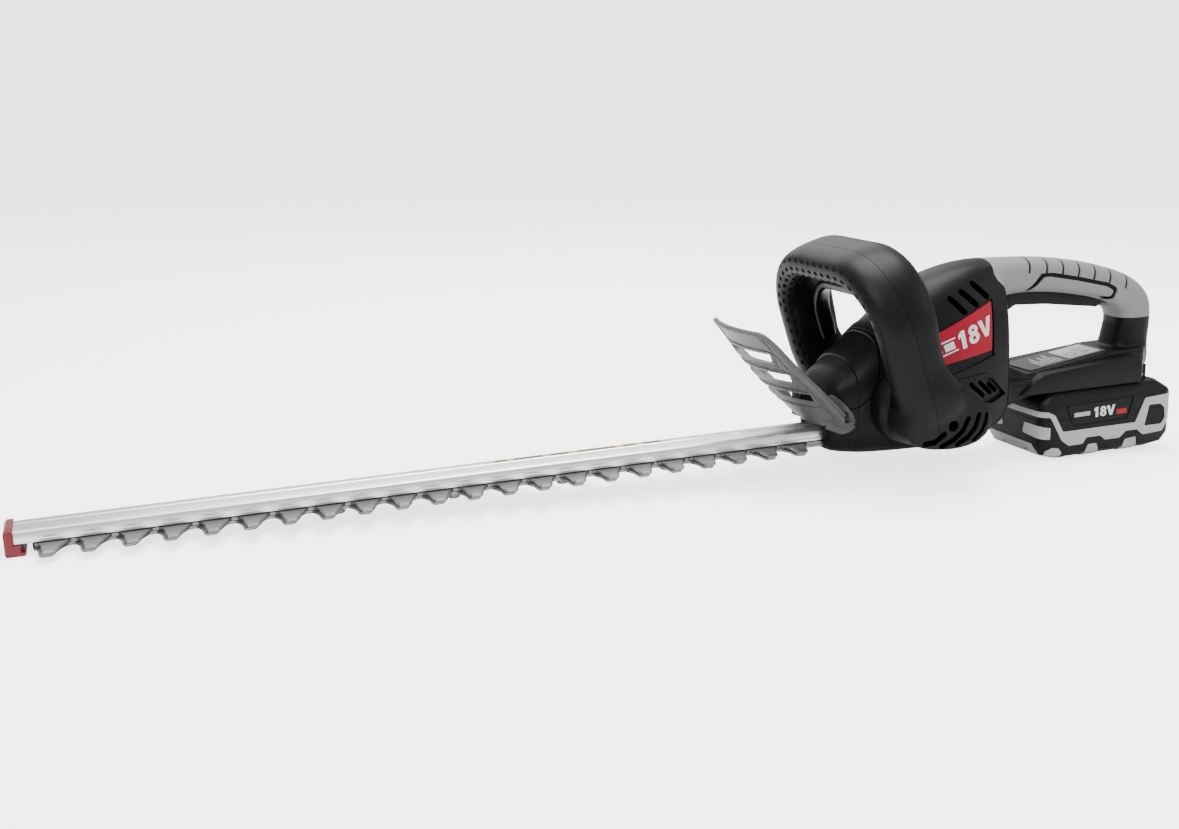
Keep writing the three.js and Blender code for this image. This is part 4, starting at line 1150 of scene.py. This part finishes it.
def screw(name, node, x, z, seat, tip, radius, side=1):
    """A pan-head screw lying across the tool, with a six-lobed drive."""
    way = point(0, side, 0)
    shape = turned([(0, tip), (1.2, tip + 1.2), (1.6, tip + 2.5), (1.6, seat), (radius, seat),
                    (radius, seat + 1.5), (radius * 0.85, seat + 2.4), (radius * 0.5, seat + 2.7), (0,
                                                                      seat + 2.7)],
                   point(x, 0, z), way, 32)
    lobes = [(x + r * math.cos(a), z + r * math.sin(a)) for r, a in
             ((1.75 if k % 2 else 1.15, 2 * math.pi * k / 12) for k in range(12))]
    y0, y1 = sorted((side * (seat + 1.0), side * (seat + 4.0)))
    shape = cut(shape, side_slab(lobes, y0, y1))
    piece(shape, name, "black_steel", "body", [node])


hand_shield()
for tag, side in (("left", -1), ("right", 1)):
    screw("shield_fixing_%s" % tag, "shield_screw_%s" % tag, *SHIELD_SCREW, 34.4, 22, 3.9, side)
for number, (screw_x, screw_z, seat) in enumerate(CASING_SCREWS, 1):
    screw("casing_screw_%d" % number, "housing_screw_%d" % number, screw_x, screw_z, seat + 0.3, -seat + 6,
          3.7)

# ------------------------------------------------------------------ trigger, badges and labels
def trigger():
    outline = [(160.5, 88), (163.5, 84), (170, 87.5), (199, 85.8), (228, 82), (248, 79.5), (252, 81), (256,
                                                                      84.5),
               (256, 87), (233, 92), (203, 96), (172, 101.5), (166, 104), (162, 99)]
    lever = side_slab(outline, -8.5, 8.5, corner=1.0, rim=1.6)
    pivot = turned([(0, -20), (2, -20), (2, 20), (0, 20)], point(167, 0, 100), point(0, 1, 0), 20)
    piece(cut(lever, pivot), "trigger_lever", "casing", "trigger", ["trigger"])


BADGE = [(66, 72), (130, 97.5), (127.5, 61), (72, 52)]


def badges():
    for tag, side in (("left", -1), ("right", 1)):
        y0, y1 = sorted((side * 20, side * 60))
        film = side_slab(BADGE, y0, y1, corner=0.8)
        film = cut(common(film, pod(0.1)), pod(1.15))
        piece(film, "badge_plate_%s" % tag, "red", "body", ["badge_%s" % tag])


def disc(u, v, ru, rv, low, high, count=28):
    return plan_slab([(u + ru * math.cos(2 * math.pi * i / count), v + rv * math.sin(2 * math.pi * i / count))
                      for i in range(count)], low, high)


def voltage(size, slant=0.0):
    """The working voltage in heavy plain figures, centred on the origin; size is the height."""
    one = plan_slab([(-9.6, 10), (-12.1, 10), (-14.2, 8.4), (-14.2, 6.2), (-12.5, 7.1), (-12.5, 0), (-9.6,
                                                                      0)],
                    -0.12, 0.12)
    eight = added(disc(-3.6, 7.35, 3.35, 2.75, -0.12, 0.12), disc(-3.6, 2.95, 3.75, 3.05, -0.12, 0.12))
    eight = cut(eight, joined(disc(-3.6, 7.35, 1.0, 0.85, -1, 1), disc(-3.6, 2.95, 1.2, 1.05, -1, 1)))
    vee = plan_slab([(0.6, 10), (3.6, 10), (5.5, 3.3), (7.4, 10), (10.4, 10), (6.9, 0), (4.1, 0)], -0.12,
                    0.12)
    words = joined(one, eight, vee)
    for vert in words.verts:
        u, v = vert.co[0] + 1.9, vert.co[1] - 5
        vert.co[0], vert.co[1] = (u + v * slant) * size / 10, v * size / 10
    return words


def flat_bars(bars):
    """Plain printed bars: centre u, centre v, length, height."""
    return joined(*(plan_slab([(u - a / 2, v - b / 2), (u + a / 2, v - b / 2), (u + a / 2, v + b / 2),
                               (u - a / 2, v + b / 2)], -0.12, 0.12) for u, v, a, b in bars))


def wrap_on_side(bm, x, z, tilt, side, surface):
    """Lays flat print on the tool's side at (x, z), reading the right way round from that side."""
    bmesh.ops.subdivide_edges(bm, edges=[e for e in bm.edges if e.calc_length() > 4], cuts=2)
    c, s = math.cos(math.radians(tilt)), math.sin(math.radians(tilt))
    for vert in bm.verts:
        u, v, w = vert.co
        du, dv = u * c + v * s * side, v * c - u * s * side
        px, pz = x - side * du, z + dv
        vert.co = point(px, side * (surface(px, pz) + w), pz)
    bmesh.ops.recalc_face_normals(bm, faces=bm.faces)
    return bm


def badge_print():
    def skin_line(x, z):
        return pod_side(x, z) + 0.02
    for tag, side in (("left", -1), ("right", 1)):
        number = wrap_on_side(voltage(13.2, 0.16), 112.5, 75.6, 19, side, skin_line)
        piece(number, "badge_number_%s" % tag, "ink", "body", crease=20)
        bars = flat_bars([(0, 4.9, 23, 1.0), (0, -4.3, 23, 1.0), (-6.2, 0.3, 8.2, 5.4), (5, 0.3, 9, 5.4)])
        bars = wrap_on_side(bars, 84.0, 65.6, 17, side, skin_line)
        piece(bars, "badge_bars_%s" % tag, "ink", "body", crease=20)


PLATE_START, PLATE_END = (180, 35.1), (252, 44.85)
PLATE_TILT = math.atan2(PLATE_END[1] - PLATE_START[1], PLATE_END[0] - PLATE_START[0])
PLATE_PLACE = Matrix.Translation((PLATE_START[0], 0, PLATE_START[1])) @ Matrix.Rotation(-PLATE_TILT, 4, "Y")


def plate_patch(u0, u1, v0, v1, low, high, corner=0.0):
    """A thin rectangle on the sloping top of the foot: u along the slope, v across it."""
    patch = plan_slab([(u0, v0), (u1, v0), (u1, v1), (u0, v1)], low, high, corner=corner)
    patch.transform(PLATE_PLACE)
    return patch


def rating_label():
    base = plate_patch(0, 72.8, -17, 17, -0.3, 0.35, 1.5)
    piece(base, "rating_film", "label_dark", "body", ["rating_plate"])
    window = plate_patch(40, 70, -14, 14, 0.33, 0.43, 1.5)
    piece(window, "rating_window", "label", "body")
    marks = []
    for i, run in enumerate((9, 13, 7, 12, 10, 14, 8)):
        marks.append(plate_patch(14 + 3.2 * i, 15.2 + 3.2 * i, -13, -13 + run * 1.7, 0.34, 0.42))
    piece(joined(*marks), "rating_lines", "ink", "body")
    rings = []
    for u, v, size in ((48, -5, 4.4), (60, 4, 3.6), (60, -7, 2.6)):
        rings.append(turned([(size, 0), (size, 0.09), (size - 0.6, 0.09), (size - 0.6, 0), (size, 0)],
                            point(u, v, 0.42), point(0, 0, 1), 32))
    circles = joined(*rings)
    circles.transform(PLATE_PLACE)
    piece(circles, "rating_rings", "label_dark", "body")


trigger()
badges()
badge_print()
rating_label()

# ------------------------------------------------------------------ battery
PACK_X, PACK_WIDE = 241, 38
PACK_LEVELS = [[-35, 47.0, 30.0, 6], [-34.5, 48, 31, 7], [-31, 58.8, 36.2, 9], [-24.2, 62.7, 37.8, 9],
               [-22.6, 63, 38, 9], [10.8, 63, 38, 9], [12.4, 62.2, 37.2, 9], [18.3, 54.8, 31.7, 8],
               [19, 53.8, 30.7, 7.5]]


def pack_ring(z, long, wide, corner):
    made = []
    for sx, sy, start in ((1, 1, 0), (-1, 1, 90), (-1, -1, 180), (1, -1, 270)):
        for k in range(9):
            a = math.radians(start + 90 * k / 8)
            made.append(point(PACK_X + sx * (long - corner) + corner * math.cos(a),
                              sy * (wide - corner) + corner * math.sin(a), z))
    return made


def pack_body(grow):
    """The pack's outside, let out on every side by `grow`."""
    rings = []
    for z, long, wide, corner in PACK_LEVELS:
        end = -1 if z < -20 else 1 if z > 11 else 0
        rings.append(pack_ring(z + grow * end * 0.8, long + grow, wide + grow, corner + grow))
    return skin(rings)


BAND = [(183, 5.2), (189, 2.2), (197, -12), (267, -12), (276, 7.2), (310, 9.2), (310, -5), (299, -14), (294,
                                                                      -22),
        (275, -23), (269, -18), (258, -18), (252, -23), (238, -23), (233, -19), (220, -19), (216, -24),
        (203, -24),
        (196, -19), (185, 0.5), (183, 1)]
BAND_WINDOW = [(280, 1), (291, 1), (295.5, -3), (296.5, -11), (293, -16), (276, -16)]
TABS = ([(222, -25), (230, -25), (236, -38), (219, -38)], [(258, -25), (268, -24), (272, -38), (255, -38)],
        [(183, -26.5), (187, -24), (193.5, -25), (197.5, -29.5), (194, -36), (184, -36)])


def bumper_pattern():
    """The light overmould's outline on the pack's sides, front and back."""
    band = cut(side_slab(BAND, -60, -12, corner=0.8), side_slab(BAND_WINDOW, -70, -5, corner=1.2))
    parts = [band] + [side_slab(tab, -60, -12, corner=0.8) for tab in TABS]
    sides = both_sides(joined(*parts))
    strip = front_slab([(-60, 0.8), (60, 0.8), (60, 5.2), (-60, 5.2)], 160, 183.2)
    patches = both_sides(front_slab([(-15, -6.5), (-33, -6.5), (-45, -9), (-45, -14.5), (-38, -17), (-13,
                                                                      -15)], 160,
                                    185, corner=1))
    chin = front_slab([(30, -21.5), (-25, -22.5), (-31, -38), (-31, -40), (31, -40)], 160, 205, corner=0.8)
    rear = front_slab([(-60, -5), (60, -5), (60, 9.2), (-60, 9.2)], 299.5, 330)
    rear = cut(rear, front_slab([(-15, 0), (15, 0), (15, 30), (-15, 30)], 290, 340))
    whole = added(sides, strip)
    for other in (patches, chin, rear):
        whole = added(whole, other)
    return whole


def battery():
    shell = pack_body(0.0)
    groove = [(198.5, 9.3), (265.5, 10.4), (259, -8), (206, -8.6)]
    inner = [(200.2, 8.2), (263.7, 9.2), (258, -7), (206.8, -7.5)]
    frame_cut = cut(side_slab(groove, -60, -20, corner=2.5), side_slab(inner, -70, -10, corner=2))
    shell = cut(shell, both_sides(cut(frame_cut, pack_body(-0.7))))
    pad_bed = bumper_pattern()
    shell = cut(shell, cut(pad_bed, pack_body(-0.9)))
    rails = added(block(192, 300, -20, 20, 17, 23.6, corner=0.5), block(192, 300, -24, 24, 23.1, 29.5,
                                                                      corner=0.8))
    rails = cut(rails, joined(*(block(180, 207, y - 2, y + 2, 24.2, 33) for y in (-11, 0, 11))))
    rails = common(rails, plan_slab([(180, -40), (268, -40), (288, -16), (294, -16), (294, 16), (288, 16),
                                     (268, 40),
                                     (180, 40)], 10, 40))
    upper = common(shell.copy(), block(100, 400, -80, 80, -2, 60))
    lower = common(shell, block(100, 400, -80, 80, -60, -2.3))
    upper = added(upper, rails)
    upper = cut(upper, block(294, 330, -12.5, 12.5, 2.6, 12.4, corner=1))
    upper = cut(upper, block(PACK_X - 50, PACK_X + 50, -34, 34, -10, 7))
    upper = cut(upper, block(PACK_X - 46, PACK_X + 46, -27, 27, 0, 14))
    lower = cut(lower, block(PACK_X - 50, PACK_X + 50, -34, 34, -31.8, 10))
    piece(upper, "pack_upper", "battery", "battery", ["battery_upper_case"], crease=28)
    piece(lower, "pack_lower", "battery", "battery", ["battery_lower_case"], crease=28)
    pad = cut(common(bumper_pattern(), pack_body(0.55)), pack_body(-0.75))
    vents = [front_slab([(y - 2, -29.5), (y + 2, -29.5), (y + 2, -28.3), (y - 2, -28.3)], 160,
                        205) for y in (-14, 14)]
    pad = cut(pad, joined(*vents))
    piece(pad, "pack_bumper", "bumper", "battery", crease=28)


def pack_print():
    def side_line(x, z):
        return PACK_WIDE + 0.02
    for tag, side in (("left", -1), ("right", 1)):
        number = wrap_on_side(voltage(8.2), 236.5, 0.8, 1, side, side_line)
        piece(number, "pack_number_%s" % tag, "ink", "battery", crease=20)
        mark = flat_bars([(0, 0, 15, 3.4)])
        piece(wrap_on_side(mark, 215, 0.4, 1, side, side_line), "pack_bar_%s" % tag, "bumper", "battery",
              crease=20)
        cell = flat_bars([(0, 0, 10, 4.2)])
        piece(wrap_on_side(cell, 253, -1.2, 1, side, side_line), "pack_red_bar_%s" % tag, "red", "battery",
              crease=20)


def latch():
    button = block(297.5, 304.5, -12, 12, 3, 12, corner=0.9, rim=0.9)
    ribs = [block(303.9, 306, -9, 9, z, z + 0.8) for z in (5, 7, 9)]
    piece(cut(button, joined(*ribs)), "latch_button", "bumper", "latch", ["battery_latch"])


battery()
pack_print()
latch()

# ------------------------------------------------------------------ floor and light
def studio():
    """A seamless pale sweep: flat floor that curves up into a wall well behind the tool."""
    line = [(-14, 0), (-4, 0), (5, 0)]
    line += [(5 + 3 * math.sin(math.radians(a)), 3 - 3 * math.cos(math.radians(a))) for a in range(6, 91, 6)]
    line += [(8, 14)]
    mesh = bpy.data.meshes.new("floor")
    mesh.from_pydata([(x, y, z) for y, z in line for x in (-16, 16)], [],
                     [(2 * i, 2 * i + 1, 2 * i + 3, 2 * i + 2) for i in range(len(line) - 1)])
    for face in mesh.polygons:
        face.use_smooth = True
    floor = bpy.data.objects.new("floor", mesh)
    paper, tree, shader = start_material("pale paper")
    shader.inputs["Base Color"].default_value = (0.92, 0.92, 0.92, 1)
    shader.inputs["Roughness"].default_value = 0.9
    shader.inputs["Specular IOR Level"].default_value = 0.1
    shader.inputs["Emission Color"].default_value = (1, 1, 1, 1)
    seen = tree.nodes.new("ShaderNodeLightPath")
    tree.links.new(spread(tree, seen.outputs["Is Camera Ray"], 0.0, 1.0, 0.15, 2.4),
                   shader.inputs["Emission Strength"])
    mesh.materials.append(paper)
    bpy.context.scene.collection.objects.link(floor)
    for name, place, aim, size, power in (
            ("key", (-0.9, -1.0, 1.6), (0.1, 0, 0.05), 1.0, 22),
            ("top", (0.25, 0.25, 1.7), (0.1, 0, 0.0), 1.1, 52),
            ("fill", (1.4, -0.9, 0.9), (0.2, 0, 0.08), 1.0, 6),
            ("back", (0.3, 1.5, 1.2), (0.1, 0, 0.05), 1.4, 12)):
        data = bpy.data.lights.new(name, "AREA")
        data.size = size
        data.energy = power
        lamp = bpy.data.objects.new(name, data)
        lamp.location = place
        lamp.rotation_euler = (Vector(aim) - Vector(place)).to_track_quat("-Z", "Y").to_euler()
        bpy.context.scene.collection.objects.link(lamp)
    world = bpy.data.worlds.new("studio")
    world.use_nodes = True
    world.node_tree.nodes["Background"].inputs["Color"].default_value = (1, 1, 1, 1)
    background = world.node_tree.nodes["Background"]
    seen = world.node_tree.nodes.new("ShaderNodeLightPath")
    strength = spread(world.node_tree, seen.outputs["Is Camera Ray"], 0.0, 1.0, 0.75, 4.0)
    world.node_tree.links.new(strength, background.inputs["Strength"])
    bpy.context.scene.world = world


studio()
